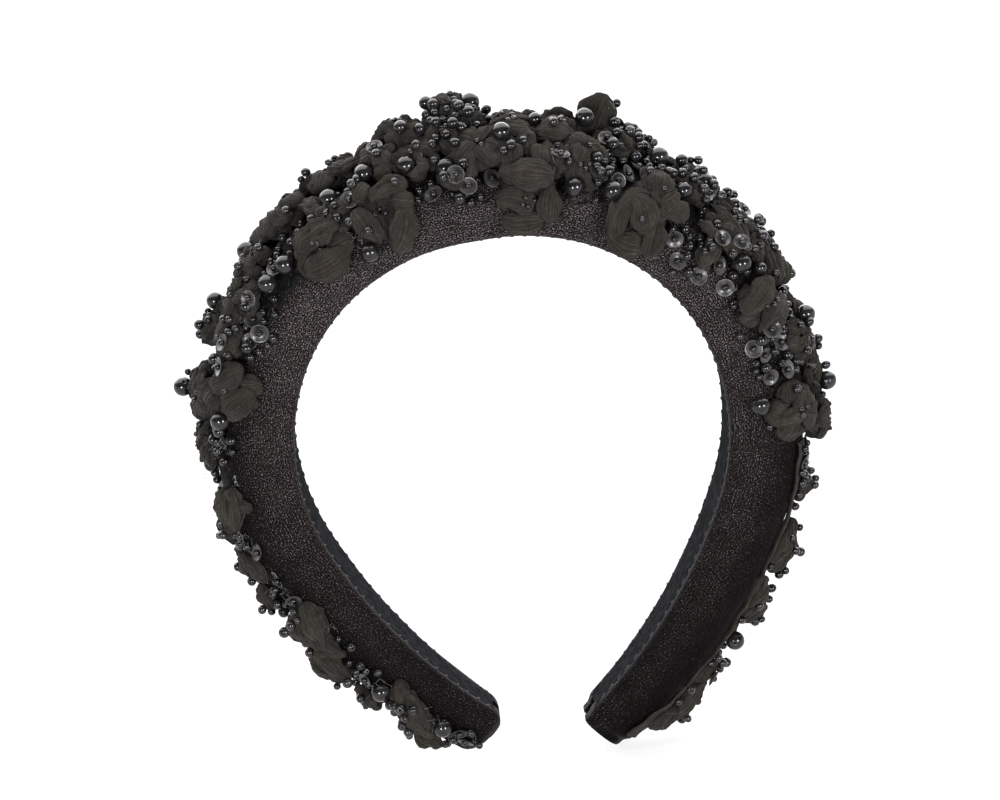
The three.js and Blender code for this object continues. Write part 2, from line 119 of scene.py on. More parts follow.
# Smaller roses that fill the spaces between those, without CAD nodes of their own.
FILLING_ROSES = [
    (-20, 14, 8.5, 20, 6.5, "stacked"), (-31, -12, 9, 50, 5.5, "open"),
    (-6, 8, 9, 10, 6.5, "stacked"), (-8, -14, 9, 35, 6, "folded"),
    (-3, -8, 7.5, 70, 10.5, "stacked"), (10, 6, 9, 5, 6, "folded"), (12, -22, 9, 40, 6, "open"),
    (33, -4, 9, 15, 4.6, "stacked"), (52, -10, 9, 60, 4.4, "open"),
    (50, 18, 7, 30, 5, "folded"), (68, 12, 8, 44, 4.8, "stacked"),
    (-56, 6, 8.5, 12, 5, "stacked"), (-71, 30, 7, 33, 4.4, "folded"),
    (-34, 38, 7.5, 70, 4.6, "stacked"), (-13, 26, 8, 25, 5.6, "folded"),
    (-4, 44, 7, 5, 4.6, "open"), (-70, -8, 8, 64, 5, "folded"),
    (92, 18, 7.5, 18, 4.4, "stacked"), (98, -10, 8, 40, 4.4, "folded"),
    (-98, -6, 7, 25, 4.4, "stacked"), (26, 46, 7, 50, 4.4, "folded"),
    (-34, -30, 9, 5, 4.6, "folded"), (2, -30, 9, 60, 5.5, "stacked"),
    (38, -24, 9, 35, 4.6, "folded"), (72, -22, 8, 15, 4.6, "open"),
    (-70, -26, 8, 50, 4.4, "stacked"), (-85, -6, 8, 20, 6.4, "stacked"),
    (103, 0, 7.5, 35, 5, "folded"), (19, 36, 7, 30, 5.2, "stacked"),
    (19, 12, 8, 10, 7, "folded"),
]

# Single folded petals: along, lean, half length, half width, half height, twist, height.
PETALS = [
    (26, -14, 6, 5, 8.5, 20, 9.2), (-112, 36, 8, 5, 2.6, 10, 3.8), (-149, 50, 9, 5, 2.8, 15, 4),
    (-162, 28, 8, 5, 2.8, -15, 4), (-189, 56, 8.5, 4.6, 2.8, 12, 4),
    (146, -2, 9, 5, 3, 10, 4.2), (165, -4, 8, 4.6, 3, -20, 4.2), (198, 2, 10, 4.6, 3, 8, 4.2),
]
# More petals without a CAD node of their own: along, lean, half length, half width, twist, height.
LOOSE_PETALS = [
    (-37, 19, 6, 4, 60, 4.5), (11, -7, 6.5, 4.5, 10, 5.5), (13, 27, 5, 4, 80, 6),
    (74, 12, 7, 4, 20, 5), (60, 57, 5, 4, 70, 5), (46, 49, 5, 4, 120, 6.5),
    (-85, 34, 6, 4, 15, 4.6), (-73, -5, 6, 4.5, 30, 6), (-16, -16, 7, 5, 40, 9),
    (-111, 37, 6, 4, 100, 5), (-148, 58, 6, 3.5, 5, 5), (-157, 44, 6, 4, -25, 4.6),
    (-183, 62, 6, 3.4, 25, 4.4), (-196, 50, 5.5, 3.6, -20, 4.4), (145, 12, 6, 3.6, 15, 5),
    (159, 20, 6, 3.4, -10, 4.6), (186, 10, 6, 3.8, 20, 5.4), (205, 22, 5.5, 3.4, 0, 4.2),
    (128, 4, 6, 4, 25, 4.6), (-128, 26, 6, 4, -30, 4.2), (-100, 8, 6, 4, 20, 4.4),
    (-118, 4, 6, 4, -25, 4.2), (-138, 8, 6, 4, 30, 4.2), (-178, 18, 6, 4, 20, 4.2),
    (-198, 20, 6, 3.8, -15, 4.2), (104, -22, 6.5, 4, 35, 4.6), (126, -26, 6, 4, -20, 4.4),
    (-72, -32, 6.5, 4.4, 40, 4.8), (-92, -26, 6, 4, -20, 4.6), (-128, -18, 6, 4, 15, 4.2),
    (150, -26, 6, 4, 30, 4.2), (176, -22, 6, 4, -25, 4.2), (-160, -16, 6, 4, 25, 4.2),
    (2, -34, 6, 4.4, 70, 7), (36, -22, 6.5, 4.5, 30, 6), (70, -20, 6, 4.4, -30, 6),
    (-36, -24, 6.5, 4.4, 15, 6.5),
]

# Pearls of 6 mm: along, lean, height. The first list has CAD nodes, the second doesn't.
PEARLS = [
    (-86, -4, 11), (-55, 41, 4.4), (-49, 43, 4.6), (-31, 78, 4.4), (-24, 22, 6), (-33, 22, 4.6),
    (-7, 40, 5), (24, 59, 4.6), (33, 55, 4.6), (68, 45, 5), (103, 77, 4.4), (104, 4, 8.5),
]
# Along, lean, height and size against 6 mm.
MORE_PEARLS = [
    (-15, 32, 6.5, 1), (-14, 8, 12.5, 0.7), (-67, -7, 8, 0.9), (-89, 43, 5.5, 1),
    (-5, 65, 5.2, 0.62), (2, -12, 13, 1), (-8.5, -12, 15, 0.72), (15, 8, 9, 0.7),
    (8, 24, 9.4, 1), (25, -2, 9.5, 1), (31, 16, 6.5, 0.7), (41, 11, 7, 1), (48, 31, 6, 0.9),
    (52, 6, 6.5, 1), (-177, 54, 4.4, 1), (-198, 63, 4.4, 1), (175, 14, 4.6, 1),
    (-55, -10, 7, 1), (-105, -20, 4.4, 0.9), (-40, -50, 6, 1), (2, -60, 6, 1),
    (36, -58, 5, 0.9), (70, -52, 5, 1), (110, -30, 4.8, 0.9), (-78, -40, 4.8, 1),
    (140, -34, 4.4, 0.8), (-145, -26, 4.4, 0.9), (88, 8, 7, 1), (28, 34, 6, 0.66),
    (31, 42, 5.6, 0.6), (-62, 36, 5, 0.62), (-4, 14, 11.5, 0.6), (1, 6, 12.5, 0.62),
    (58, 38, 5.6, 0.6), (72, 34, 5.6, 0.62), (60, 4, 7, 0.64), (46, 2, 8, 0.66),
    (86, 64, 5, 0.62), (-92, 40, 4.6, 0.6), (-70, 52, 4.6, 0.62), (-76, 26, 6, 0.6),
    (-182, 48, 4.2, 0.6),
]
# Cup sequins of 6 mm, on whatever is under them: along, lean.
SEQUINS = [
    (-204, 61), (90, 41), (91, 62), (97, 63), (97, 43), (94, 8), (-60, 37), (-69, 48),
    (-64, 42), (-95, 37), (5, 51), (38, 15), (34, 42), (56, 78), (63, 76), (65, 57), (64, 39),
    (-5, 50), (-11, 56), (-2, 58), (20, 40), (-71, 36), (-66, 54), (-76, 40), (84, 56),
    (88, 70), (54, 10), (45, 20), (30, 4), (-20, 10), (-29, 36), (-52, 30), (52, 66), (70, 66),
    (60, 48), (-172, 44), (-207, 54), (181, 4), (187, 18), (-124, 44), (-140, 50), (118, 10),
    (122, 20), (-30, -40), (8, -50), (38, -44), (74, -40), (-64, -28), (-108, -10), (134, -16),
    (156, -18), (-84, -18), (36, 30), (40, 24), (33, 10), (57, 22), (62, 6),
]
# Seed beads at the net's front edge and in the gaps that show: along, lean.
EDGE_BEADS = [
    (-211, 61), (157, 13), (163, 14), (169, 15), (176, 16), (193, 29), (1, 65), (22, 43),
    (50, 60), (55, 68), (57, 86), (83, 76), (101, 48), (-123, 9), (-127, 12), (-125, 47),
    (-135, 36), (-140, 57), (-155, 33), (-165, 48), (-171, 52), (-175, 31), (-133, 46),
    (-144, 52), (-161, 66), (-180, 58), (-186, 68), (-203, 68), (-208, 58), (118, 28),
    (121, 24), (124, 26), (127, 20), (130, 17), (133, 18), (184, 20), (188, 24), (198, 30),
    (-57, 50), (-60, 58), (-68, 60), (-74, 56), (-78, 30), (88, 34), (-47, 34), (-52, 36),
    (-28, 66), (-33, 46), (-31, 54), (-14, 50), (-10, 62), (-15, 58), (26, 50), (30, 64),
    (29, 47), (53, 54), (58, 58), (66, 50), (72, 60), (75, 68), (71, 40), (94, 74), (99, 66),
    (91, 52), (110, 70), (86, 48), (95, 56), (-29, 30), (-38, 32), (-20, 34), (-9, 34),
    (-18, 46),
]
# Heaps of seed beads: along, lean, spread in millimetres, count, and how high they are heaped.
HEAPS = [
    (-67, 46, 8, 12, 1), (-96, 34, 6, 7, 1), (-172, 50, 6, 8, 1), (-205, 60, 5, 7, 1),
    (36, 8, 9, 22, 2.4), (60, 63, 8, 9, 1), (93, 60, 8, 9, 1), (181, 4, 7, 8, 1),
    (-2, 8, 9, 18, 2.4), (-10, -4, 6, 8, 2), (50, 10, 9, 18, 2.4), (-28, 24, 8, 8, 1),
    (84, 8, 9, 12, 2), (-54, 26, 7, 6, 1), (12, 46, 6, 4, 1), (97, 14, 7, 8, 1),
    (-4, 52, 7, 6, 1), (64, 42, 8, 9, 1), (30, 36, 7, 7, 1), (-118, 22, 7, 8, 1),
    (-140, 30, 8, 8, 1), (-185, 40, 8, 8, 1), (124, 12, 6, 8, 1), (-75, 10, 7, 8, 1.6),
    (150, -10, 8, 8, 1), (-34, -34, 8, 12, 2), (4, -44, 8, 12, 2), (38, -34, 8, 12, 2),
    (72, -36, 8, 10, 2), (-72, -18, 8, 10, 1.6), (-108, -8, 8, 10, 1), (112, -14, 8, 10, 1),
    (-150, -4, 8, 10, 1), (168, -24, 7, 8, 1), (-190, 0, 7, 8, 1), (200, -14, 6, 6, 1),
    (66, 4, 8, 12, 2), (44, 24, 7, 9, 1.4), (-44, 20, 6, 5, 1),
]
SCATTERED_BEADS = 170
ARMS_FROM = 95
PETAL_HEIGHT_ON_ARMS = 2.8
# Where the net's silvery side shows: along, lean.
SILVER_PATCHES = [(-70, 50), (-64, 52), (-106, 44), (-132, 48)]

PEARL_RADIUS = 3
PEARL_HOLE = 0.45
BEAD_RADIUS = 1.35
CLOSEST_BEADS = 1.75  # in bead radii, between middles

# The camera looks down on the front of the head, from slightly off level.
CAMERA_TARGET = (-0.0020, 0.0, -0.0561)
CAMERA_DISTANCE = 1.5
CAMERA_ELEVATION = 17.5
CAMERA_ROLL = 8.3
CAMERA_LENS = 174.17
# The studio's light comes from above and behind: it fades over a direction's share of that way.
LIGHT_WAY = (0, 0.62, 0.785)
WORLD_FADE = (0.4, 0.74, 0.14, 4.6)  # share from and to, and the strength at each
# A low white wall goes all round: the height from and to, and the strength at each.
WALL_FADE = (0.11, 0.17, 1.1, 0.0)
# Two small round softboxes make the highlights: name and azimuth in degrees.
SOFTBOXES = [("softbox_left", -20), ("softbox_right", 34)]
SOFTBOX_ELEVATION = 8
SOFTBOX_DISTANCE = 1.6
SOFTBOX_SIZE = 0.46
SOFTBOX_POWER = 1.8
SOFTBOX_SPREAD = 50
FLOOR_HALF = 12
FLOOR_GAP = 0.0005
FLOOR_GLOW = 0.8  # a lit table: the floor stays pale right up to the tips


# --- the band's own space --------------------------------------------------------------------


def curve_at(along):
    """The inner curve's x, z and heading, turned down from the crown, at distances along the band."""
    along = np.asarray(along, float)
    left = np.abs(along)
    x = np.minimum(left, CROWN_FLAT)
    left = left - x
    z = np.zeros_like(left)
    heading = np.zeros_like(left)
    for number, (radius, turn) in enumerate(ARM_ARCS, 1):
        last = number == len(ARM_ARCS)
        length = left if last else np.minimum(left, radius * math.radians(turn))
        turned = heading + length / radius
        x = x + radius * (np.sin(turned) - np.sin(heading))
        z = z - radius * (np.cos(heading) - np.cos(turned))
        heading = turned
        left = left - length
    side = np.where(along < 0, -1.0, 1.0)
    return side * x, z, side * heading


def band_point(along, across, out):
    """A point from its distance along the band, across it to the back, and out from the inner face."""
    x, z, heading = curve_at(along)
    across = np.asarray(across, float)
    x = x + np.sin(heading) * out
    z = z + np.cos(heading) * out
    return np.stack(np.broadcast_arrays(x, across, z), -1)


def tip_share(along):
    arm = np.where(np.asarray(along) < 0, LEFT_ARM, RIGHT_ARM)
    return np.minimum(1, np.abs(along) / arm)


def pad_width(along):
    return TIP_WIDTH + (CROWN_WIDTH - TIP_WIDTH) * (1 - tip_share(along) ** WIDTH_POWER)


def pad_thickness(along):
    taper = 1 - tip_share(along) ** THICKNESS_POWER
    return TIP_THICKNESS + (CROWN_THICKNESS - TIP_THICKNESS) * taper


def dome_point(along, lean, offset=0.0):
    """Across and out of a point on the pad's dome; past 90 degrees it goes down the side."""
    angle = np.radians(np.clip(lean, -90, 90))
    past = np.maximum(0, np.abs(lean) - 90) * SIDE_DROP
    rise = pad_thickness(along) - SHOULDER_HEIGHT + offset
    half = pad_width(along) / 2 + offset
    across = -np.sign(angle) * half * np.abs(np.sin(angle)) ** DOME_POWER
    return across, SHOULDER_HEIGHT + rise * np.abs(np.cos(angle)) ** DOME_POWER - past


def on_pad(along, lean, offset=0.0):
    across, out = dome_point(along, lean, offset)
    return band_point(along, across, out)


def unit(vectors):
    return vectors / np.linalg.norm(vectors, axis=-1, keepdims=True)


def basis_at(along, lean):
    """Axes on the pad: along the band, to the front, and out of the cloth, as the last index."""
    forward = unit(on_pad(along + 0.5, lean) - on_pad(along - 0.5, lean))
    to_front = on_pad(along, lean + 0.5) - on_pad(along, lean - 0.5)
    outward = unit(np.cross(to_front, forward))
    return np.stack([forward, np.cross(outward, forward), outward], -1)


def above_pad(along, lean, height):
    return on_pad(along, lean) + basis_at(along, lean)[..., 2] * height


def over_pad(along, lean, forward, to_front, height, level=0.0):
    """Points a step in millimetres away from a place, as measured at a level above the pad."""
    per_along = np.linalg.norm(on_pad(along + 1, lean, level) - on_pad(along - 1, lean, level)) / 2
    per_degree = np.linalg.norm(on_pad(along, lean + 3, level) - on_pad(along, lean - 3, level)) / 6
    s = along + forward / per_along
    a = lean + to_front / per_degree
    return on_pad(s, a) + basis_at(s, a)[..., 2] * np.asarray(height)[..., None]


def edge_lean(edge, along):
    return np.interp(along, [s for s, _ in edge], [lean for _, lean in edge])


# --- meshes ----------------------------------------------------------------------------------


class Pile:
    """Points and faces of many closed parts, collected in millimetres and made into one mesh."""

    def __init__(self):
        self.points, self.faces, self.cloth, self.count = [], [], [], 0

    def add(self, points, faces, cloth=None):
        points = np.asarray(points, float).reshape(-1, 3)
        if cloth is None:
            cloth = points
        self.points.append(points)
        self.cloth.append(np.asarray(cloth, float).reshape(-1, 3))
        self.faces += [tuple(index + self.count for index in face) for face in faces]
        self.count += len(points)

    def make(self, name, material, slot, replaces=()):
        mesh = bpy.data.meshes.new(name)
        mesh.from_pydata((np.concatenate(self.points) * MM).tolist(), [], self.faces)
        mesh.update()
        mesh.polygons.foreach_set("use_smooth", [True] * len(mesh.polygons))
        cloth = mesh.attributes.new("cloth", "FLOAT_VECTOR", "POINT")
        cloth.data.foreach_set("vector", np.concatenate(self.cloth).astype(np.float32).ravel())
        mesh.materials.append(material)
        piece = bpy.data.objects.new(name, mesh)
        bpy.context.scene.collection.objects.link(piece)
        return finish_piece(piece, replaces)


def finish_piece(piece, replaces=()):
    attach(piece, "root")
    if replaces:
        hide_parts(*replaces)
    return piece


def grid_faces(rows, columns, close_rows=False, close_columns=False):
    """Quads over a grid of points in row order; a closed direction joins its end to its start."""
    faces = []
    for i in range(rows if close_rows else rows - 1):
        for j in range(columns if close_columns else columns - 1):
            here, below = i * columns, (i + 1) % rows * columns
            beside = (j + 1) % columns
            faces.append((here + j, here + beside, below + beside, below + j))
    return faces


def capped_faces(rows, columns):
    """A tube of closed rings with one more point at each end, after the grid's points."""
    first, last = rows * columns, rows * columns + 1
    start = (rows - 1) * columns
    faces = grid_faces(rows, columns, close_columns=True)
    faces += [(first, (j + 1) % columns, j) for j in range(columns)]
    faces += [(last, start + j, start + (j + 1) % columns) for j in range(columns)]
    return faces


def lathe(profile, segments):
    """A closed profile of (radius, height) points turned about the z axis, as points and faces."""
    around = np.linspace(0, 2 * math.pi, segments, endpoint=False)
    rings = [
        np.stack([radius * np.cos(around), radius * np.sin(around), np.full(segments, height)], -1)
        for radius, height in profile
    ]
    return np.concatenate(rings), grid_faces(len(profile), segments, True, True)


def arc_profile(radius, hole, height, steps):
    """A round bead's closed profile: an outer arc, and the straight wall of its hole."""
    start = math.asin(hole / radius)
    angles = np.linspace(start, math.pi - start, steps)
    outer = [(radius * math.sin(a), height * math.cos(a)) for a in angles]
    inner = [(hole * 0.8, -height * 0.6), (hole * 0.8, height * 0.6)]
    return outer + inner


PEARL = lathe(arc_profile(PEARL_RADIUS, PEARL_HOLE, PEARL_RADIUS, 20), 28)
SEED_BEAD = lathe(arc_profile(BEAD_RADIUS, 0.3, 1.2, 10), 16)
SEQUIN = lathe(
    [
        (0.5, -0.78), (1.1, -0.74), (1.9, -0.5), (2.6, -0.12), (2.95, 0.16), (3.02, 0.26), (2.92, 0.3),
        (2.5, 0.04), (1.85, -0.34), (1.1, -0.58), (0.5, -0.62),
    ],
    22,
)


def turned(axis, angle):
    return np.array(Quaternion(axis, angle).to_matrix())


def set_down(pile, shape, along, lean, height, rng, tilt=20.0, stand=False, size=1.0):
    """Puts one lathed bead over the pad, spun about its axis and tilted by up to some degrees."""
    points, faces = shape
    spin = turned((0, 0, 1), rng.uniform(0, 2 * math.pi))
    lean_over = turned((1, 0, 0), math.radians(rng.uniform(0.3, 1) * tilt))
    if stand:
        lean_over = turned((1, 0, 0), math.radians(90 + rng.uniform(-tilt, tilt)))
    basis = basis_at(along, lean) @ spin @ lean_over
    centre = above_pad(along, lean, height)
    pile.add(centre + (points * size) @ basis.T, faces, points * size)


# --- materials -------------------------------------------------------------------------------


class Shader:
    """A small helper that wires procedural nodes into one Principled shader."""

    def __init__(self, name, **constants):
        self.material = bpy.data.materials.new(name)
        self.material.use_nodes = True
        self.nodes = self.material.node_tree.nodes
        self.links = self.material.node_tree.links
        self.principled = self.nodes["Principled BSDF"]
        for socket, value in constants.items():
            self.principled.inputs[socket.replace("_", " ")].default_value = value

    def node(self, kind, inputs=(), **settings):
        made = self.nodes.new("ShaderNode" + kind)
        for key, value in settings.items():
            setattr(made, key, value)
        for key, value in dict(inputs).items():
            if isinstance(value, bpy.types.NodeSocket):
                self.links.new(value, made.inputs[key])
            else:
                made.inputs[key].default_value = value
        return made

    def cloth(self, scale=(1, 1, 1)):
        """The cloth coordinates of a made piece, in millimetres, times a scale."""
        place = self.node("Attribute", attribute_name="cloth").outputs["Vector"]
        return self.node("VectorMath", {0: place, 1: scale}, operation="MULTIPLY").outputs[0]

    def object_mm(self, scale=1.0):
        place = self.node("TexCoord").outputs["Object"]
        factor = (scale / MM,) * 3
        return self.node("VectorMath", {0: place, 1: factor}, operation="MULTIPLY").outputs[0]

    def noise(self, place, scale, detail=2.0, roughness=0.5):
        inputs = {"Vector": place, "Scale": scale, "Detail": detail, "Roughness": roughness}
        return self.node("TexNoise", inputs).outputs["Fac"]

    def lines(self, place, scale, distortion=0.0, direction="X"):
        inputs = {"Vector": place, "Scale": scale, "Distortion": distortion, "Detail": 1.0}
        return self.node("TexWave", inputs, bands_direction=direction).outputs["Fac"]

    def math(self, operation, first, second):
        return self.node("Math", {0: first, 1: second}, operation=operation).outputs[0]

    def total(self, *parts, start=0.0):
        """The sum of sockets, each times its weight."""
        for socket, weight in parts:
            inputs = {0: socket, 1: weight, 2: start}
            start = self.node("Math", inputs, operation="MULTIPLY_ADD").outputs[0]
        return start

    def ramp(self, factor, stops):
        made = self.node("ValToRGB", {"Fac": factor})
        elements = made.color_ramp.elements
        while len(elements) < len(stops):
            elements.new(0.5)
        for element, (position, colour) in zip(elements, stops):
            element.position = position
            element.color = (*colour, 1)
        return made.outputs["Color"]

    def colour(self, socket):
        self.links.new(socket, self.principled.inputs["Base Color"])
        return self

    def rough(self, factor, low, high):
        inputs = {"Value": factor, "To Min": low, "To Max": high}
        made = self.node("MapRange", inputs)
        self.links.new(made.outputs[0], self.principled.inputs["Roughness"])
        return self

    def bump(self, height, strength, distance):
        inputs = {"Height": height, "Strength": strength, "Distance": distance * MM}
        made = self.node("Bump", inputs)
        self.links.new(made.outputs[0], self.principled.inputs["Normal"])
        return self


def velvet_material():
    """Black velvet knit: fine broken wales, a sparkling pile, painted sheen by the inner edges and painted
    shade towards the arm ends.
    """
    shader = Shader(
        "velvet", Sheen_Weight=0.07, Sheen_Roughness=0.3, Sheen_Tint=(0.95, 0.88, 0.9, 1),
        Specular_IOR_Level=0.04,
    )
    place = shader.cloth((1, 1, 0))
    grain = shader.noise(place, 2.3, 1, 0.9)
    wales = shader.lines(shader.cloth((0.12, 1, 0)), 0.42, 2.2, "Y")
    patches = shader.noise(place, 0.14, 3)
    attribute = shader.node("Attribute", attribute_name="cloth").outputs["Vector"]
    parts = shader.node("SeparateXYZ", {0: attribute}).outputs
    # Painted sheen: the colour is lighter towards the cloth's inner edges, where light grazes the pile.
    painted_edge_sheen = shader.node("MapRange", {
        "Value": parts["Z"], "From Min": 0.3, "From Max": 0.64, "To Min": -0.02, "To Max": 0.12,
    }).outputs[0]
    # Painted shade: the colour is darker towards the ends of the arms, where the light falls off.
    painted_arm_shade = shader.node("MapRange", {
        "Value": shader.math("ABSOLUTE", parts["X"], 0.0), "From Min": 60.0, "From Max": 190.0,
        "To Min": 0.0, "To Max": -0.14,
    }).outputs[0]
    # The pile's own speckle, wales and patches, plus the painted sheen and the painted shade.
    pile_and_painted_light = shader.total(
        (grain, 1.3), (wales, 0.08), (patches, 0.14), (painted_edge_sheen, 1.0), (painted_arm_shade, 1.0), start=-0.21,
    )
    shader.colour(shader.ramp(pile_and_painted_light, [
        (0.46, (0.0008, 0.0005, 0.0005)), (0.62, (0.005, 0.0039, 0.0038)),
        (0.76, (0.024, 0.0198, 0.02)), (0.95, (0.15, 0.13, 0.134)),
    ]))
    shader.rough(grain, 0.6, 0.95)
    return shader.bump(pile_and_painted_light, 0.7, 0.25).material


def chiffon_material():
    shader = Shader(
        "chiffon", Sheen_Weight=0.05, Sheen_Roughness=0.5, Sheen_Tint=(0.95, 0.93, 0.88, 1),
        Specular_IOR_Level=0.12,
    )
    place = shader.cloth()
    pleats = shader.lines(shader.cloth((1, 0.16, 1)), 0.55, 5.0)
    threads = shader.lines(shader.cloth((1, 0.25, 1)), 1.7, 3.5)
    crinkle = shader.noise(place, 1.3, 4, 0.8)
    tone = shader.noise(place, 0.25, 2)
    shade = shader.total((tone, 0.35), (pleats, 0.13), (crinkle, 0.52))
    shader.colour(shader.ramp(shade, [
        (0.3, (0.0045, 0.0036, 0.0028)), (0.5, (0.0155, 0.0126, 0.0098)), (0.72, (0.043, 0.0355, 0.0285)),
    ]))
    shader.rough(crinkle, 0.7, 0.95)
    height = shader.total((pleats, 0.7), (threads, 0.3), (crinkle, 0.6))
    return shader.bump(height, 1.0, 0.5).material


def lining_material():
    shader = Shader("lining", Specular_IOR_Level=0.0)
    weft = shader.lines(shader.cloth((1, 0, 0)), 1.6, 0.3)
    warp = shader.lines(shader.cloth((0, 1, 0)), 1.6, 0.3, "Y")
    weave = shader.math("MULTIPLY", weft, warp)
    tone = shader.noise(shader.cloth(), 0.35, 4, 0.6)
    shade = shader.total((weave, 0.4), (tone, 0.7))
    shader.colour(shader.ramp(shade, [
        (0.3, (0.008, 0.0082, 0.0092)), (0.55, (0.021, 0.0215, 0.024)), (0.85, (0.05, 0.052, 0.058)),
    ]))
    shader.rough(weave, 0.8, 0.95)
    return shader.bump(weave, 0.6, 0.12).material


def net_material():
    shader = Shader("net", Specular_IOR_Level=0.06)
    cells = shader.node(
        "TexVoronoi", {"Vector": shader.cloth(), "Scale": 0.75}, feature="DISTANCE_TO_EDGE",
    ).outputs["Distance"]
    speckle = shader.noise(shader.cloth(), 1.3, 3, 0.8)
    strand = shader.math("LESS_THAN", cells, 0.13)
    place = shader.node("Attribute", attribute_name="cloth").outputs["Vector"]
    silver = shader.node("SeparateXYZ", {0: place}).outputs["Z"]
    shade = shader.math("MULTIPLY", speckle, shader.total((strand, 0.4), start=0.6))
    shade = shader.total((silver, 0.2), start=shade)
    shader.colour(shader.ramp(shade, [
        (0.45, (0.0015, 0.0015, 0.0016)), (0.62, (0.006, 0.0062, 0.006)), (0.76, (0.2, 0.21, 0.2)),
    ]))
    shader.rough(speckle, 0.35, 0.8)
    return shader.bump(strand, 0.8, 0.25).material


def thread_material():
    shader = Shader("thread", Sheen_Weight=0.2, Sheen_Roughness=0.4)
    twist = shader.lines(shader.object_mm(), 2.2, 0.5, "DIAGONAL")
    shader.colour(shader.ramp(twist, [(0.2, (0.002, 0.002, 0.0022)), (0.8, (0.009, 0.009, 0.01))]))
    shader.rough(twist, 0.5, 0.75)
    return shader.bump(twist, 0.6, 0.1).material


def fray_material():
    shader = Shader("frayed_fibre", Sheen_Weight=0.2, Sheen_Roughness=0.5)
    tone = shader.noise(shader.object_mm(), 0.6)
    shader.colour(shader.ramp(tone, [(0.3, (0.05, 0.05, 0.047)), (0.7, (0.16, 0.16, 0.15))]))
    shader.rough(tone, 0.6, 0.9)
    return shader.material


def pearl_material():
    shader = Shader("black_pearl", IOR=1.42)
    lustre = shader.noise(shader.cloth(), 0.35, 3)
    fine = shader.noise(shader.cloth(), 4, 2)
    shader.colour(shader.ramp(lustre, [(0.35, (0.004, 0.0037, 0.004)), (0.7, (0.012, 0.0114, 0.0122))]))
    shader.rough(lustre, 0.07, 0.16)
    return shader.bump(fine, 0.05, 0.02).material


def bead_material():
    shader = Shader("black_glass", IOR=1.42)
    tone = shader.noise(shader.object_mm(), 0.12, 2)
    shader.colour(shader.ramp(tone, [(0.4, (0.003, 0.003, 0.0033)), (0.65, (0.014, 0.013, 0.015))]))
    return shader.rough(tone, 0.04, 0.12).material


def sequin_material():
    shader = Shader("smoked_sequin", Coat_Weight=0.15, Coat_Roughness=0.15, IOR=1.5)
    tone = shader.noise(shader.object_mm(), 0.2, 3)
    film = shader.noise(shader.cloth(), 0.9, 2)
    shade = shader.total((tone, 0.7), (film, 0.3))
    shader.colour(shader.ramp(shade, [
        (0.36, (0.012, 0.0106, 0.011)), (0.52, (0.036, 0.032, 0.0335)), (0.66, (0.088, 0.079, 0.082)),
    ]))
    shader.rough(film, 0.28, 0.5)
    return shader.bump(film, 0.15, 0.08).material


def foam_material():
    shader = Shader("foam", Specular_IOR_Level=0.2)
    pores = shader.noise(shader.cloth(), 2.4, 4, 0.7)
    shader.colour(shader.ramp(pores, [(0.35, (0.01, 0.01, 0.011)), (0.65, (0.045, 0.045, 0.048))]))
    shader.rough(pores, 0.85, 1.0)
    return shader.bump(pores, 0.7, 0.4).material


def plastic_material():
    shader = Shader("band_plastic", Specular_IOR_Level=0.45)
    grain = shader.noise(shader.object_mm(), 1.5, 3)
    shader.colour(shader.ramp(grain, [(0.3, (0.01, 0.01, 0.011)), (0.7, (0.02, 0.02, 0.022))]))
    shader.rough(grain, 0.35, 0.5)
    return shader.bump(grain, 0.2, 0.1).material


VELVET = velvet_material()
CHIFFON = chiffon_material()
LINING = lining_material()
NET = net_material()
THREAD = thread_material()
FRAY = fray_material()
PEARL_GLOSS = pearl_material()
BEAD_GLOSS = bead_material()
SEQUIN_GLOSS = sequin_material()
FOAM = foam_material()
PLASTIC = plastic_material()


# --- the padded band -------------------------------------------------------------------------


def stations(inset, step):
    start, end = -LEFT_ARM + inset, RIGHT_ARM - inset
    return np.linspace(start, end, round((end - start) / step) + 1)


def tip_stations(inset, step, rounding):
    """Even places along the band, drawn closer together over the rounded tips."""
    start, end = -LEFT_ARM + inset, RIGHT_ARM - inset
    even = stations(inset + rounding, step)
    close = rounding * (1 - np.cos(np.linspace(0, math.pi / 2, 8)[:-1]))
    return np.concatenate([start + close, even, (end - close)[::-1]])


def tip_scale(along, inset, rounding):
    arm = np.where(along < 0, LEFT_ARM, RIGHT_ARM)
    left = np.clip((arm - inset - np.abs(along)) / rounding, 0, 1)
    smallest = np.where(along < 0, SMALLEST_TIP, SMALLEST_CUT_TIP)
    return np.maximum(smallest, np.sqrt(1 - (1 - left) ** 2))


def pad_section(along, offset, base, dome_steps, corner_steps):
    """One section of the pad from the front hem corner, over the dome, to the back hem corner."""
    half = pad_width(along) / 2 + offset
    phi = np.linspace(0, math.pi / 2, corner_steps, endpoint=False)
    corner_across = half - CORNER * (1 - np.sin(phi))
    corner_out = base + (SHOULDER_HEIGHT - base) * (1 - np.cos(phi))
    lean = np.linspace(90, -90, dome_steps)
    across, out = dome_point(along, lean, offset)
    front = np.stack([-corner_across, corner_out], -1)
    back = np.stack([corner_across, corner_out], -1)[::-1]
    return np.concatenate([front, np.stack([across, out], -1), back])


def drawn_in(section, along, inset, rounding):
    pivot = np.array([0, pad_thickness(along) * TIP_PIVOT])
    return pivot + (section - pivot) * tip_scale(along, inset, rounding)


def girth(section):
    steps = np.linalg.norm(np.diff(section, axis=0), axis=1)
    run = np.concatenate([[0], np.cumsum(steps)])
    return run - run[len(run) // 2]


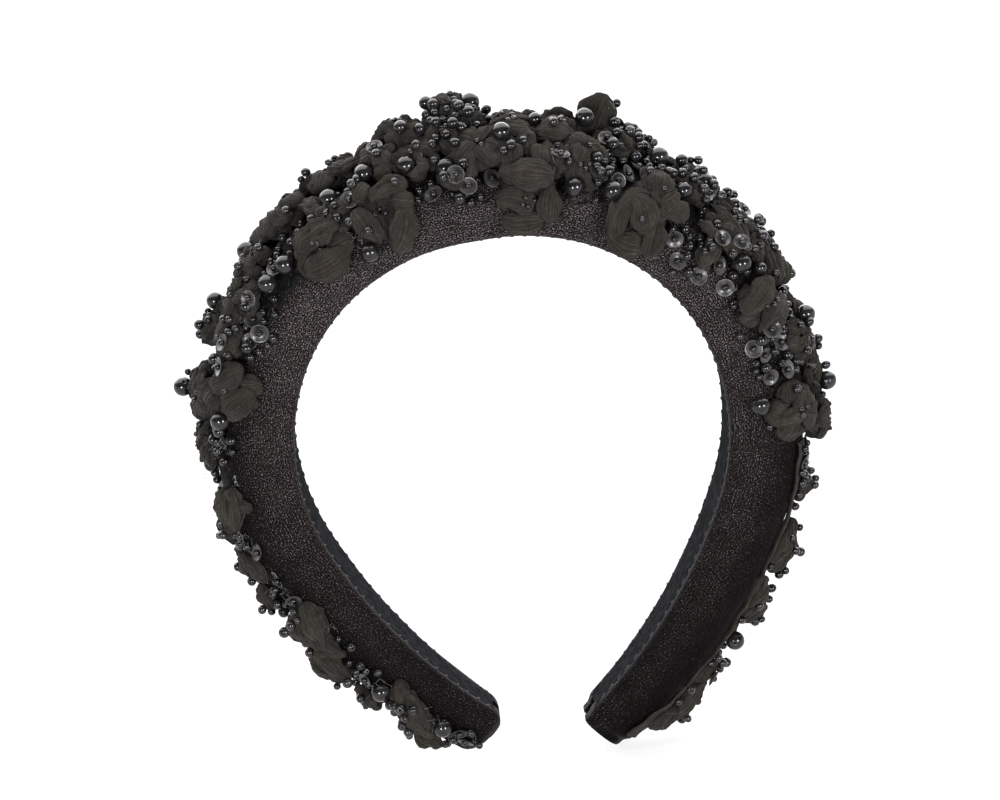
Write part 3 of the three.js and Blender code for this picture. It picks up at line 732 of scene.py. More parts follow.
def make_foam():
    inset, rounding = 1.1, 6
    places = tip_stations(inset, 4, rounding)
    rings, cloth = [], []
    for along in places:
        section = drawn_in(pad_section(along, -inset, CORE_BASE, 20, 3), along, inset, rounding)
        rings.append(band_point(along, section[:, 0], section[:, 1]))
        cloth.append(np.stack([np.full(len(section), along), girth(section), section[:, 1]], -1))
    grid = np.array(rings)
    ends = np.array([grid[0].mean(0), grid[-1].mean(0)])
    points = np.concatenate([grid.reshape(-1, 3), ends])
    pile = Pile()
    end_cloth = np.array([[places[0], 0, 0], [places[-1], 0, 0]])
    cloth = np.concatenate([np.array(cloth).reshape(-1, 3), end_cloth])
    pile.add(points, capped_faces(*grid.shape[:2]), cloth)
    piece = pile.make("foam_filling", FOAM, "foam", ["foam_pad"])


def softness(along, turn, seed):
    """Slow uneven swells of the stuffed cloth, in millimetres."""
    swell = np.sin(along / 9.3 + seed) * np.cos(turn * 2.1 + along / 31)
    return 0.16 * swell + 0.1 * np.sin(along / 4.1 + turn * 3 + seed * 2)


def make_velvet():
    """The velvet cover: over the foam, round both edges, and turned under as a hem inside the lining."""
    rounding = 5
    hem_steps = 4
    places = tip_stations(0, 2.4, rounding)
    rings, cloth = [], []
    for along in places:
        section = pad_section(along, 0, HEM_BASE, 44, 6)
        turn = np.linspace(-1.5, 1.5, len(section))
        middle = np.array([0, pad_thickness(along) * 0.35])
        outward = unit(section - middle)
        section = section + outward * softness(along, turn, 0.7)[:, None]
        half = pad_width(along) / 2
        hem = np.linspace(half - min(HEM_WIDTH, half - 1), half - CORNER, hem_steps, endpoint=False)
        under = np.full(hem_steps, HEM_BASE)
        front = np.stack([-hem, under], -1)
        back = np.stack([hem[::-1], under], -1)
        section = drawn_in(np.concatenate([front, section, back]), along, 0, rounding)
        rings.append(band_point(along, section[:, 0], section[:, 1]))
        run = girth(section)
        cloth.append(np.stack([np.full(len(section), along), run, np.abs(run) / run.max()], -1))
    grid = np.array(rings)
    rows, columns = grid.shape[:2]
    points = np.concatenate([grid.reshape(-1, 3), grid[0].mean(0)[None], grid[-1].mean(0)[None]])
    first, last, start = rows * columns, rows * columns + 1, (rows - 1) * columns
    faces = grid_faces(rows, columns)
    faces += [(first, j + 1, j) for j in range(columns - 1)]
    faces += [(last, start + j, start + j + 1) for j in range(columns - 1)]
    end_cloth = np.array([[places[0], 0, 0], [places[-1], 0, 0]])
    pile = Pile()
    pile.add(points, faces, np.concatenate([np.array(cloth).reshape(-1, 3), end_cloth]))
    piece = pile.make("velvet_shell", VELVET, "velvet", ["velvet_cover"])
    thicken(piece, CLOTH * 0.8, -1)


def thicken(piece, thickness, side):
    solid = piece.modifiers.new("cloth_thickness", "SOLIDIFY")
    solid.thickness = thickness * MM
    solid.offset = side


def lining_half(along):
    return pad_width(along) / 2 - LINING_INSET


def pucker(along, across):
    """How far the lining lifts: small gathers at its stitched edges, more of them on the +X arm."""
    edge = np.abs(across) / lining_half(along)
    gathered = 0.25 + 0.75 * np.clip((along - 90) / 40, 0, 1)
    wave = np.sin(along * 1.15 + 2.2 * np.sin(along / 7)) + 0.6 * np.sin(along * 0.53 + across)
    return gathered * 0.32 * edge ** 3 * wave


def make_lining():
    places = stations(LINING_END, 1.5)
    shares = np.linspace(-1, 1, 15)
    grid, cloth = [], []
    for along in places:
        across = shares * lining_half(along) + 0.35 * np.sin(along * 1.1) * shares ** 3
        out = LINING_THICKNESS + pucker(along, across) * 0.5
        grid.append(band_point(along, across, out))
        cloth.append(np.stack([np.full(len(shares), along), across, out], -1))
    pile = Pile()
    pile.add(np.array(grid), grid_faces(len(places), len(shares)), np.array(cloth))
    piece = pile.make("lining", LINING, "lining_cloth", ["lining_strip"])
    thicken(piece, LINING_THICKNESS, 0)


def tube(points, radius, sides=6):
    """A closed thin tube through points in millimetres, as points and faces."""
    points = np.asarray(points, float)
    ahead = unit(np.gradient(points, axis=0))
    reference = np.array([0.31, 0.87, 0.38])
    side = unit(np.cross(ahead, reference))
    up = np.cross(ahead, side)
    around = np.linspace(0, 2 * math.pi, sides, endpoint=False)
    across = np.cos(around)[None, :, None] * side[:, None]
    ring = across + np.sin(around)[None, :, None] * up[:, None]
    skin = points[:, None] + ring * radius
    skin = np.concatenate([skin.reshape(-1, 3), points[:1], points[-1:]])
    return skin, capped_faces(len(points), sides)


def make_stitches(side, name, node):
    """Hand stitches: short slanted bars of thread over one edge of the lining, every few millimetres."""
    pile = Pile()
    rng = random.Random(11 + side)
    places = stations(LINING_END + 1, 4.2)
    for along in places:
        start = along + rng.uniform(-0.5, 0.5)
        slant = rng.uniform(1.4, 2.4)
        edge = float(lining_half(along))
        t = np.linspace(0, 1, 7)
        run = start + slant * t
        across = side * (edge - 1.1 + 2.0 * t + rng.uniform(-0.2, 0.2))
        out = 0.75 - 0.62 * np.sin(math.pi * t)
        pile.add(*tube(band_point(run, across, out), 0.24))
    ridge = np.arange(places[0], places[-1], 1.0)
    waver = 0.15 * np.sin(ridge * 1.5)
    middle = side * (lining_half(ridge) + 0.45) + waver
    pile.add(*tube(band_point(ridge, middle, np.full(len(ridge), 0.55)), 0.22))
    pile.make(name, THREAD, "thread", [node])


def make_net():
    """The net that everything is sewn to, with a ragged cut edge."""
    places = stations(NET_END, 1.6)
    shares = np.linspace(0, 1, 26)
    grid, cloth, widths = [], [], []
    for along in places:
        ragged = 3.0 * math.sin(along * 0.9) * math.sin(along * 0.37 + 1)
        ragged += 1.6 * math.sin(along * 2.3)
        front = float(edge_lean(NET_FRONT_EDGE, along)) + ragged
        back = float(edge_lean(NET_BACK_EDGE, along)) - 0.8 * ragged
        lean = back + (front - back) * shares
        ripple = NET_HEIGHT + 0.12 * np.sin(lean / 2.3 + along)
        row = on_pad(along, lean, ripple)
        grid.append(row)
        run = np.concatenate([[0], np.cumsum(np.linalg.norm(np.diff(row, axis=0), axis=1))])
        widths.append(run[-1])
        silver = np.zeros(len(shares))
        for patch_along, patch_lean in SILVER_PATCHES:
            silver += np.exp(-((along - patch_along) / 4) ** 2 - ((lean - patch_lean) / 7) ** 2)
        cloth.append(np.stack([np.full(len(shares), along), run, np.minimum(1, silver)], -1))
    pile = Pile()
    pile.add(np.array(grid), grid_faces(len(places), len(shares)), np.array(cloth))
    piece = pile.make("net", NET, "net_mesh", ["applique_net"])
    thicken(piece, NET_THICKNESS, 1)


def make_ruffle():
    """A strip of chiffon folded in half lengthwise; its rolled fold runs along the net's front edge."""
    start, end = RUFFLE_EDGE[0][0], RUFFLE_EDGE[-1][0]
    places = np.arange(start, end, 0.7)
    half = len(RUFFLE_CLIMB)
    reach = np.concatenate([RUFFLE_CLIMB, RUFFLE_CLIMB[::-1]])
    layer = np.concatenate([np.full(half, -1.0), np.full(half, 1.0)])
    grid, cloth = [], []
    for along in places:
        lean = float(edge_lean(RUFFLE_EDGE, along)) + RUFFLE_LEANS_OUT
        lean += 2.2 * math.sin(along * 0.31) + 0.9 * math.sin(along * 0.83 + 1)
        puff = layer * 0.5 * np.sin(math.pi * np.clip(reach, 0.08, 0.9)) ** 0.5
        height = 1.1 + 1.3 * reach ** 3 + puff + 0.2 * math.sin(along * 0.7)
        to_front = -RUFFLE_WIDTH * (1 - reach)
        grid.append(over_pad(along, lean, np.zeros(2 * half), to_front, np.maximum(0.5, height)))
        run = np.concatenate([RUFFLE_CLIMB, 2 - RUFFLE_CLIMB[::-1]]) * RUFFLE_WIDTH
        cloth.append(np.stack([run, np.full(2 * half, along), np.zeros(2 * half)], -1))
    pile = Pile()
    pile.add(np.array(grid), grid_faces(len(places), 2 * half), np.array(cloth))
    piece = pile.make("ruffle", CHIFFON, "chiffon", ["edge_ruffle"])
    thicken(piece, 0.3, 0)


# --- chiffon lobes, roses and petals ---------------------------------------------------------

LOBE_RINGS = 16
LOBE_SIDES = 38
LOBE_FACES = capped_faces(LOBE_RINGS, LOBE_SIDES)


def crumple(points, shortest, longest, rng, waves=9):
    """A smooth uneven field from -1 to 1 over points: a sum of waves in seeded directions."""
    total = np.zeros(points.shape[:-1])
    for _ in range(waves):
        way = np.array([rng.gauss(0, 1) for _ in range(3)])
        way *= 2 * math.pi / (np.linalg.norm(way) * rng.uniform(shortest, longest))
        total += np.cos(points @ way + rng.uniform(0, 2 * math.pi))
    return total / math.sqrt(waves)


def press_in(points, spot):
    """Petals give way round the pearls: points beside or over one are pushed below its middle."""
    for centre, outward, radius in PEARL_PLACES:
        if np.linalg.norm(centre - spot) > 34:
            continue
        away = points - centre
        above = away @ outward
        beside = np.linalg.norm(away - above[:, None] * outward, axis=1)
        dent = np.clip((radius + 1.1 - beside) / 1.1, 0, 1) * np.maximum(0, above + 0.35 * radius)
        points = points - outward * dent[:, None]
    return points


def add_lobe(
    pile, spot, rng, start, heading, length, width, high, bend=0.0, lift=(0.0, 0.0), roll=0.0,
    taper=0.6, groove=0.0, blunt=0.42, upright=False, deep=False,
):
    """One puffed fold of chiffon over the pad at a spot (along, lean, height).

    Its middle line starts at (forward, to_front), sets off at a heading and bends by an angle over
    its length. It widens from the taper at its start, and pleats run along it.
    """
    v = (1 - np.cos(np.linspace(0, math.pi, LOBE_RINGS + 2)[1:-1])) / 2
    u = np.linspace(0, 2 * math.pi, LOBE_SIDES, endpoint=False)
    fine = np.linspace(0, 1, 60)
    turn = np.radians(heading + bend * fine)
    path_x = start[0] + np.concatenate([[0], np.cumsum(np.cos(turn[:-1]))]) * length / 59
    path_y = start[1] + np.concatenate([[0], np.cumsum(np.sin(turn[:-1]))]) * length / 59
    all_v = np.concatenate([v, [0, 1]])
    x, y = np.interp(all_v, fine, path_x), np.interp(all_v, fine, path_y)
    way = np.radians(heading + bend * all_v)
    middle_z = spot[2] + lift[0] + (lift[1] - lift[0]) * all_v + 0.22 * high * np.sin(math.pi * all_v)
    phase = [rng.uniform(0, 2 * math.pi) for _ in range(6)]
    open_out = taper + (1 - taper) * np.sin(math.pi * 0.5 * np.minimum(1, v * 1.5))
    fat = np.sin(math.pi * v) ** blunt * open_out * (1 + 0.09 * np.sin(2 * math.pi * v + phase[2]))
    grid_v, grid_u = np.meshgrid(v, u, indexing="ij")
    cos_u, sin_u = np.cos(grid_u), np.sin(grid_u)
    side = np.sign(cos_u) * np.abs(cos_u) ** 0.75
    below = np.maximum(0.6, (middle_z[:-2, None] - NET_HEIGHT) / high) if deep else 0.6
    rise = np.where(sin_u > 0, 1.0, below) * np.sign(sin_u) * np.abs(sin_u) ** 0.65
    across = width / 2 * fat[:, None] * side
    up = high * fat[:, None] ** 0.8 * rise
    crease = (1 - np.abs(np.sin(2.5 * grid_u + phase[0] + 1.3 * grid_v))) ** 3 * (1.1 - 0.7 * grid_v)
    pleat = 0.06 * np.cos(11 * grid_u + phase[1] - 2.5 * grid_v)
    local = np.stack([grid_v * length, across, up], -1)
    bulge = 0.42 * crumple(local, 3, 8, rng) + 0.2 * crumple(local, 1.3, 2.6, rng)
    bulge += 1.6 * pleat - 0.75 * crease
    keep = np.minimum(1, 2.2 * fat)[:, None]
    across = across + bulge * cos_u * keep
    up = up + bulge * sin_u * keep
    if groove:
        line = np.exp(-((side - 0.25 * np.sin(3 * grid_v + phase[4])) / 0.16) ** 2)
        up = up - groove * high * line * np.sin(math.pi * grid_v) * (sin_u > 0)
    across = across + 0.05 * width * np.sin(4 * grid_v + phase[5])
    tilt = math.radians(roll)
    rolled = across * math.cos(tilt) - up * math.sin(tilt)
    raised = across * math.sin(tilt) + up * math.cos(tilt)
    ring_way = way[:-2, None]
    forward = x[:-2, None] - rolled * np.sin(ring_way)
    to_front = y[:-2, None] + rolled * np.cos(ring_way)
    height = middle_z[:-2, None] + raised
    forward = np.concatenate([forward.ravel(), x[-2:]])
    to_front = np.concatenate([to_front.ravel(), y[-2:]])
    height = np.concatenate([height.ravel(), middle_z[-2:]])
    if upright:
        basis = basis_at(spot[0], spot[1])
        local = np.stack([forward, height - spot[2], np.maximum(0, to_front)], -1)
        points = on_pad(spot[0], spot[1]) + local @ basis.T
    else:
        points = over_pad(spot[0], spot[1], forward, to_front, np.maximum(0.7, height), spot[2])
    points = press_in(points, on_pad(spot[0], spot[1]))
    arc = np.concatenate([(grid_u / (2 * math.pi) * 2.2 * width).ravel(), [0, 0]])
    run = np.concatenate([(grid_v * length).ravel(), [0, length]])
    cloth = np.stack([arc, run, np.full(len(arc), rng.uniform(0, 50))], -1)
    pile.add(points, LOBE_FACES, cloth)


def pearl_place(along, lean, height, size=1.0):
    return above_pad(along, lean, height), basis_at(along, lean)[:, 2], PEARL_RADIUS * size


PEARL_PLACES = [pearl_place(*pearl) for pearl in PEARLS + MORE_PEARLS]


def polar(radius, angle):
    return radius * math.cos(math.radians(angle)), radius * math.sin(math.radians(angle))


def ring_of_petals(pile, spot, rng, radius, turn, count, inner, width, high, lift, roll, deep=False):
    """Petals side by side round a middle, each tucked under the next one."""
    for i in range(count):
        angle = turn + 360 * i / count + rng.uniform(-7, 7)
        reach = radius * rng.uniform(0.92, 1.04)
        add_lobe(
            pile, spot, rng, polar(inner * radius, angle), angle + rng.uniform(-10, 10),
            reach - inner * radius, width * radius * rng.uniform(0.92, 1.1), high * radius,
            bend=rng.uniform(-22, 22), lift=(lift[0] * radius, lift[1] * radius),
            roll=roll + rng.uniform(-5, 5), groove=rng.choice([0, 0, 0.35, 0.5]), deep=deep,
        )


def fold_open(pile, spot, rng, radius, turn):
    ring_of_petals(pile, spot, rng, 0.86 * radius, turn + 36, 5, 0.1, 0.9, 0.2, (-0.14, -0.26), 0, True)
    ring_of_petals(pile, spot, rng, radius, turn, 5, 0.08, 0.92, 0.27, (0.1, -0.06), 15)


def fold_stacked(pile, spot, rng, radius, turn):
    ring_of_petals(pile, spot, rng, radius, turn, 5, 0.1, 0.92, 0.24, (-0.1, -0.2), 10, True)
    ring_of_petals(pile, spot, rng, 0.74 * radius, turn + 50, 3, 0.02, 1.1, 0.3, (0.24, 0.04), 12)


def fold_folded(pile, spot, rng, radius, turn):
    """Two wide petals lie across the middle, and smaller ones fill the sides."""
    ring_of_petals(pile, spot, rng, 0.95 * radius, turn, 5, 0.1, 0.85, 0.22, (-0.12, -0.22), 8, True)
    for side, high in ((1, 0.3), (-1, 0.27)):
        middle = polar(0.5 * radius, turn + 90 * side)
        back = polar(-0.72 * radius * side, turn)
        start = (middle[0] + back[0], middle[1] + back[1])
        add_lobe(
            pile, spot, rng, start, turn + (0 if side > 0 else 180), 1.44 * radius, 0.86 * radius,
            high * radius, bend=-24, lift=(0.06 * radius, 0.02 * radius), roll=-10, taper=0.8, groove=0.2,
        )


def under_layer(pile, spot, rng, radius, turn):
    ring_of_petals(pile, spot, rng, 0.8 * radius, turn, 5, 0.05, 0.95, 0.2, (-0.2, -0.28), 0, True)


def fold_spiral(pile, spot, rng, radius, turn):
    """Long folds curl round the middle, like a rolled ribbon seen from above."""
    under_layer(pile, spot, rng, radius, turn)
    for count, inner, length, width, bend, lift in (
        (5, 0.6, 1.25, 0.66, 92, (0.02, -0.1)), (3, 0.32, 0.85, 0.5, 110, (0.16, 0.06)),
    ):
        for i in range(count):
            angle = turn + 360 * i / count
            add_lobe(
                pile, spot, rng, polar(inner * radius, angle), angle + 66, length * radius, width * radius,
                0.25 * radius, bend=bend, lift=(lift[0] * radius, lift[1] * radius), roll=-13, taper=0.7,
            )


def fold_ropes(pile, spot, rng, radius, turn):
    """Twisted strips lie side by side along the band, seen side on."""
    under_layer(pile, spot, rng, radius, turn)
    for i in range(5):
        sideways = (i - 2) * 0.42 * radius
        add_lobe(
            pile, spot, rng, (-radius * rng.uniform(0.75, 1.0), sideways), turn - 8 * (i - 2),
            1.95 * radius, 0.46 * radius, 0.25 * radius, bend=rng.uniform(-26, 4),
            lift=(0.05 * radius, -0.05 * radius), roll=18, taper=0.75, groove=0.3, blunt=0.35,
        )


# The three roses at the front of the crown, petal by petal in millimetres from their middles:
# start, heading, length, width, half height, bend, roll, and the lift at both ends.
LAID_OUT = {
    "centre": [
        ((-10, 2.6), 10, 12.5, 8, 3, 8, 6, (-0.4, 0)),
        ((-9, 9), 12, 15, 7, 2.8, -22, 6, (-1, -1.2)),
        ((6.4, -0.8), 80, 11, 8, 3, 8, -10, (0.8, -1)),
        ((-3.6, -6), -98, 7, 7.6, 2.8, -10, 8, (1.2, 0.4)),
        ((3, -6), -80, 7, 7.4, 2.8, 10, -8, (1, 0.4)),
        ((-8.4, -4.4), 14, 16.5, 8.4, 3.4, -20, 10, (1.8, 1.6)),
    ],
    "frayed": [
        ((-5.5, -4), 92, 12.5, 8, 2.8, -14, -6, (0, -0.5)),
        ((8.4, 0.5), 106, 15.5, 8.4, 3, 52, 8, (0, -0.6)),
        ((4.6, -1), 18, 7, 7, 2.6, 0, 0, (0.6, 0)),
        ((-5.4, -5.6), -30, 6.6, 6, 2.5, 0, 0, (0.8, 0.6)),
        ((-1, -4), -14, 12, 6.4, 2.9, 34, 6, (1.3, 0.9)),
    ],
    "wreath": [
        ((2, -8), 172, 21, 7.6, 3, -125, -8, (0, -0.6)),
        ((-8, 6), 22, 15, 7.6, 2.8, -44, 6, (-0.8, -0.8)),
        ((5.4, -3), 72, 11.5, 8, 3, 10, -8, (0.4, -0.6)),
        ((1.4, -9), -92, 9.5, 7, 2.8, 6, 4, (0.6, 0.8)),
        ((4.4, -9.4), 16, 8.5, 7.4, 2.8, 10, 0, (0.8, 0.8)),
        ((-5, -6.4), 34, 13, 8.4, 3.2, 14, 8, (1.5, 1)),
    ],
}


def fold_laid_out(style):
    def fold(pile, spot, rng, radius, turn):
        under_layer(pile, spot, rng, radius, turn)
        for start, heading, length, width, high, bend, roll, lift in LAID_OUT[style]:
            add_lobe(
                pile, spot, rng, start, heading, length, width, high, bend, lift, roll, taper=0.8,
                groove=rng.choice([0.0, 0.3]),
            )
    return fold


FOLDS = {
    "open": fold_open, "stacked": fold_stacked, "folded": fold_folded, "spiral": fold_spiral,
    "ropes": fold_ropes, **{style: fold_laid_out(style) for style in LAID_OUT},
}
STAMENS_TO_FRONT = {"centre": 4}


def make_roses():
    for number, (along, lean, radius, turn, height, style) in enumerate(ROSES, 1):
        rng = random.Random(100 + number)
        pile = Pile()
        FOLDS[style](pile, (along, lean, height), rng, radius, turn)
        node = f"flower_{number:02d}"
        piece = pile.make(f"rose_{number:02d}", CHIFFON, "chiffon", [node])


def make_filling_roses():
    pile = Pile()
    for number, (along, lean, radius, turn, height, style) in enumerate(FILLING_ROSES, 1):
        rng = random.Random(200 + number)
        FOLDS[style](pile, (along, lean, height), rng, radius, turn)
    piece = pile.make("filling_roses", CHIFFON, "chiffon")


def make_petals():
    for number, (along, lean, long, wide, high, twist, height) in enumerate(PETALS, 1):
        rng = random.Random(300 + number)
        pile = Pile()
        spot = (along, lean, height)
        if high > long:
            stand_petal(pile, spot, rng, long, high, twist)
        else:
            lay_petal(pile, spot, rng, long, wide, high, twist)
        node = f"petal_{number:02d}"
        piece = pile.make(f"folded_petal_{number:02d}", CHIFFON, "chiffon", [node])


def lay_petal(pile, spot, rng, long, wide, high, twist):
    """Two folds side by side and a smaller one over them, as a petal that is gathered and sewn down."""
    for side in (-1, 1):
        start = polar(-long, twist + 6 * side)
        start = (start[0], start[1] + side * 0.35 * wide)
        add_lobe(
            pile, spot, rng, start, twist + 9 * side, 2 * long, 1.25 * wide, high, bend=-14 * side,
            lift=(0.3, -0.4), roll=12 * side, groove=0.25, deep=True,
        )
    start = polar(-0.55 * long, twist + 20)
    heading = twist + rng.uniform(-20, 20)
    add_lobe(pile, spot, rng, start, heading, 1.2 * long, 1.1 * wide, high, lift=(1.2, 0.6))


def stand_petal(pile, spot, rng, long, high, twist):
    """The tall petal at the crown: one big fold that stands up, and two that lean on it."""
    tall = spot[2] + high
    place = (spot[0], spot[1], 0)
    for across, heading, share, width, thick, front in (
        (-1, 74, 1.12, 2.0, 3.0, 0.0), (-2, 128, 0.85, 1.5, 2.6, -1.5), (3, 60, 0.82, 1.5, 2.6, 2.0),
    ):
        add_lobe(
            pile, place, rng, (across, -2), heading - twist / 4, share * tall, width * long, thick,
            bend=12, lift=(front, front - 1), taper=0.6, groove=0.35, upright=True,
        )


def make_loose_petals():
    rng = random.Random(77)
    pile = Pile()
    for along, lean, long, wide, twist, height in LOOSE_PETALS:
        sewn_down = height if abs(along) < ARMS_FROM else PETAL_HEIGHT_ON_ARMS
        lay_petal(pile, (along, lean, sewn_down), rng, long, wide, 2.2, twist)
    piece = pile.make("loose_petals", CHIFFON, "chiffon")


# --- pearls, beads and sequins ---------------------------------------------------------------


def make_pearls():
    for number, (along, lean, height) in enumerate(PEARLS, 1):
        pile = Pile()
        set_down(pile, PEARL, along, lean, height, random.Random(number), 12, stand=True)
        node = f"pearl_{number:02d}"
        pile.make(f"sewn_pearl_{number:02d}", PEARL_GLOSS, "pearl_gloss", [node])
    pile = Pile()
    rng = random.Random(5)
    for along, lean, height, size in MORE_PEARLS:
        set_down(pile, PEARL, along, lean, height, rng, 25, stand=True, size=size)
    pile.make("more_pearls", PEARL_GLOSS, "pearl_gloss")


DROP_FROM = 30.0
LOWEST_BED = 0.8
# Roughly how long one millimetre along the inner face, and one degree of lean, are out on the pad.
HEAP_STEPS = (1.3, 0.36)
STAMEN_STEPS = (1.3, 0.42)


class Ground:
    """The velvet, the net and the chiffon as made, to lay beads and sequins on."""

    def __init__(self, names):
        points, faces = [], []
        for name in names:
            mesh = bpy.data.objects[name].data
            first = len(points)
            flat = np.empty(3 * len(mesh.vertices))
            mesh.vertices.foreach_get("co", flat)
            points += flat.reshape(-1, 3).tolist()
            faces += [[first + index for index in polygon.vertices] for polygon in mesh.polygons]
        self.tree = BVHTree.FromPolygons(points, faces)

    def top(self, along, lean):
        """How high the topmost cloth is above the pad at a place, in millimetres."""
        outward = basis_at(along, lean)[:, 2]
        start = above_pad(along, lean, DROP_FROM) * MM
        distance = self.tree.ray_cast(Vector(start), Vector(-outward))[3]
        return LOWEST_BED if distance is None else max(LOWEST_BED, DROP_FROM - distance / MM)


class Beads:
    """Lays seed beads on the cloth, clear of the pearls and of one another."""

    def __init__(self, ground, rng):
        self.ground, self.rng = ground, rng
        self.centres = [centre for centre, _, _ in PEARL_PLACES]
        self.radii = [radius for _, _, radius in PEARL_PLACES]

    def keep(self, centre, radius):
        self.centres.append(centre)
        self.radii.append(radius)

    def lay(self, pile, along, lean, heaped=0.0, smallest=0.8, largest=1.15):
        size = self.rng.uniform(smallest, largest)
        radius = BEAD_RADIUS * size
        height = self.ground.top(along, lean) + 0.8 * radius + heaped
        centre = above_pad(along, lean, height)
        apart = np.linalg.norm(np.array(self.centres) - centre, axis=1)
        if np.any(apart < CLOSEST_BEADS / 2 * (radius + np.array(self.radii))):
            return False
        self.keep(centre, radius)
        set_down(pile, SEED_BEAD, along, lean, height, self.rng, 80, size=size)
        return True

    def heap(self, pile, along, lean, spread, count, high):
        """A heap of seed beads, higher towards its middle, in the gaps between the big roses."""
        for _ in range(4 * count):
            share = math.sqrt(self.rng.random())
            forward, to_front = polar(spread * share, self.rng.uniform(0, 360))
            s, a = along + forward / HEAP_STEPS[0], lean + to_front / HEAP_STEPS[1]
            if clear_of_roses(s, a):
                heaped = high * (1 - share) * self.rng.uniform(0, 1)
                count -= self.lay(pile, s, a, heaped, 0.85, 1.35)
            if count == 0:
                break

    def stamens(self, pile, along, lean, to_front):
        """Three to six tries at a seed bead sewn in the middle of a rose."""
        for _ in range(self.rng.randint(3, 6)):
            forward, aside = polar(self.rng.uniform(0.2, 2.2), self.rng.uniform(0, 360))
            s = along + forward / STAMEN_STEPS[0]
            self.lay(pile, s, lean + (to_front + aside) / STAMEN_STEPS[1], -0.4, 0.62, 0.75)

    def scatter(self, pile, count):
        """Seed beads all over the net, in what the roses leave free."""
        while count > 0:
            along = self.rng.uniform(-207, 208)
            back, front = edge_lean(NET_BACK_EDGE, along), edge_lean(NET_FRONT_EDGE, along)
            lean = self.rng.uniform(float(back) + 3, float(front) - 2)
            if clear_of_roses(along, lean):
                self.lay(pile, along, lean)
                count -= 1


ROSE_MIDDLES = np.array([on_pad(along, lean) for along, lean, *_ in ROSES])
ROSE_RADII = np.array([radius for _, _, radius, *_ in ROSES])


def clear_of_roses(along, lean):
    apart = np.linalg.norm(ROSE_MIDDLES - on_pad(along, lean), axis=1)
    return bool(np.all(apart > 0.72 * ROSE_RADII))


def make_sequins(beads, pile):
    """Cup sequins, each held by a seed bead in its middle."""
    cups = Pile()
    rng = random.Random(21)
    for along, lean in SEQUINS:
        height = beads.ground.top(along, lean) + 1.1
        size = rng.uniform(0.85, 1.0)
        set_down(cups, SEQUIN, along, lean, height, rng, 34, size=size)
        set_down(pile, SEED_BEAD, along, lean, height + 0.35, rng, 16, size=0.8)
        beads.keep(above_pad(along, lean, height + 0.6), 2.2 * size)
    cups.make("sequins", SEQUIN_GLOSS, "sequin_gloss")


def make_beads(beads, pile):
    """The eight groups that have CAD nodes, then everything else in one piece."""
    for along, lean, *_, style in ROSES + FILLING_ROSES:
        beads.stamens(pile, along, lean, STAMENS_TO_FRONT.get(style, 0))
    for number, place in enumerate(HEAPS[:8], 1):
        group = Pile()
        beads.heap(group, *place)
        node = f"bead_cluster_{number:02d}"
        group.make(f"bead_group_{number:02d}", BEAD_GLOSS, "sequin_gloss", [node])
    for along, lean in EDGE_BEADS:
        beads.lay(pile, along, lean, 0.0, 0.9, 1.2)
    for place in HEAPS[8:]:
        beads.heap(pile, *place)
    beads.scatter(pile, SCATTERED_BEADS)
    pile.make("seed_beads", BEAD_GLOSS, "sequin_gloss")


# --- loose fibres ----------------------------------------------------------------------------

# Where the chiffon frays: along, lean, height, number of fibres, their length.
FRAYS = [
    (-62, -12, 6, 14, 4), (-54, 6, 7, 10, 4), (-31, 66, 6, 12, 3), (-104, 14, 5, 14, 4),
    (-4, -8, 15, 12, 4), (-96, 40, 4, 12, 3.5), (-136, 44, 3, 10, 3.5), (-176, 58, 4, 12, 4),
    (-206, 64, 3, 14, 4), (100, 24, 6, 10, 3), (30, -8, 14, 6, 3), (120, 20, 4, 12, 4),
    (205, 30, 4, 14, 4), (54, 4, 6, 8, 5), (-66, 34, 5, 10, 3), (40, -50, 5, 10, 4),
    (-30, -50, 5, 10, 4), (86, -44, 5, 8, 4), (-88, -30, 5, 8, 4), (150, -20, 4, 8, 4),
    (-120, 40, 3, 16, 3), (-152, 62, 4, 10, 4), (-192, 64, 4, 10, 4), (16, 52, 9, 6, 2.5),
]


def make_fibres():
    rng = random.Random(42)
    pile = Pile()
    for along, lean, height, count, length in FRAYS:
        for _ in range(count):
            s, a = along + rng.uniform(-3, 3), lean + rng.uniform(-7, 7)
            basis = basis_at(s, a)
            way = basis @ np.array([rng.gauss(0, 1), rng.gauss(0, 1), rng.uniform(0.2, 1.4)])
            curl = basis @ np.array([rng.gauss(0, 1), rng.gauss(0, 1), rng.gauss(0, 0.6)])
            t = np.linspace(0, 1, 6)[:, None]
            reach = length * rng.uniform(0.4, 1)
            root = on_pad(s, a) + basis[:, 2] * (height - 0.5)
            pile.add(*tube(root + unit(way) * reach * t + 0.35 * reach * curl * t * t, 0.045, 3))
    pile.make("frayed_fibres", FRAY, "chiffon")


# --- stage -----------------------------------------------------------------------------------


def make_camera():
    elevation = math.radians(CAMERA_ELEVATION)
    target = Vector(CAMERA_TARGET)
    back = Vector((0, -math.cos(elevation), math.sin(elevation)))
    data = bpy.data.cameras.new("camera")
    data.sensor_width = 36
    data.lens = CAMERA_LENS
    camera = bpy.data.objects.new("camera", data)
    camera.location = target + back * CAMERA_DISTANCE
    camera.rotation_mode = "QUATERNION"
    roll = Quaternion((0, 0, 1), -math.radians(CAMERA_ROLL))
    camera.rotation_quaternion = (-back).to_track_quat("-Z", "Y") @ roll
    bpy.context.scene.collection.objects.link(camera)
    bpy.context.scene.camera = camera


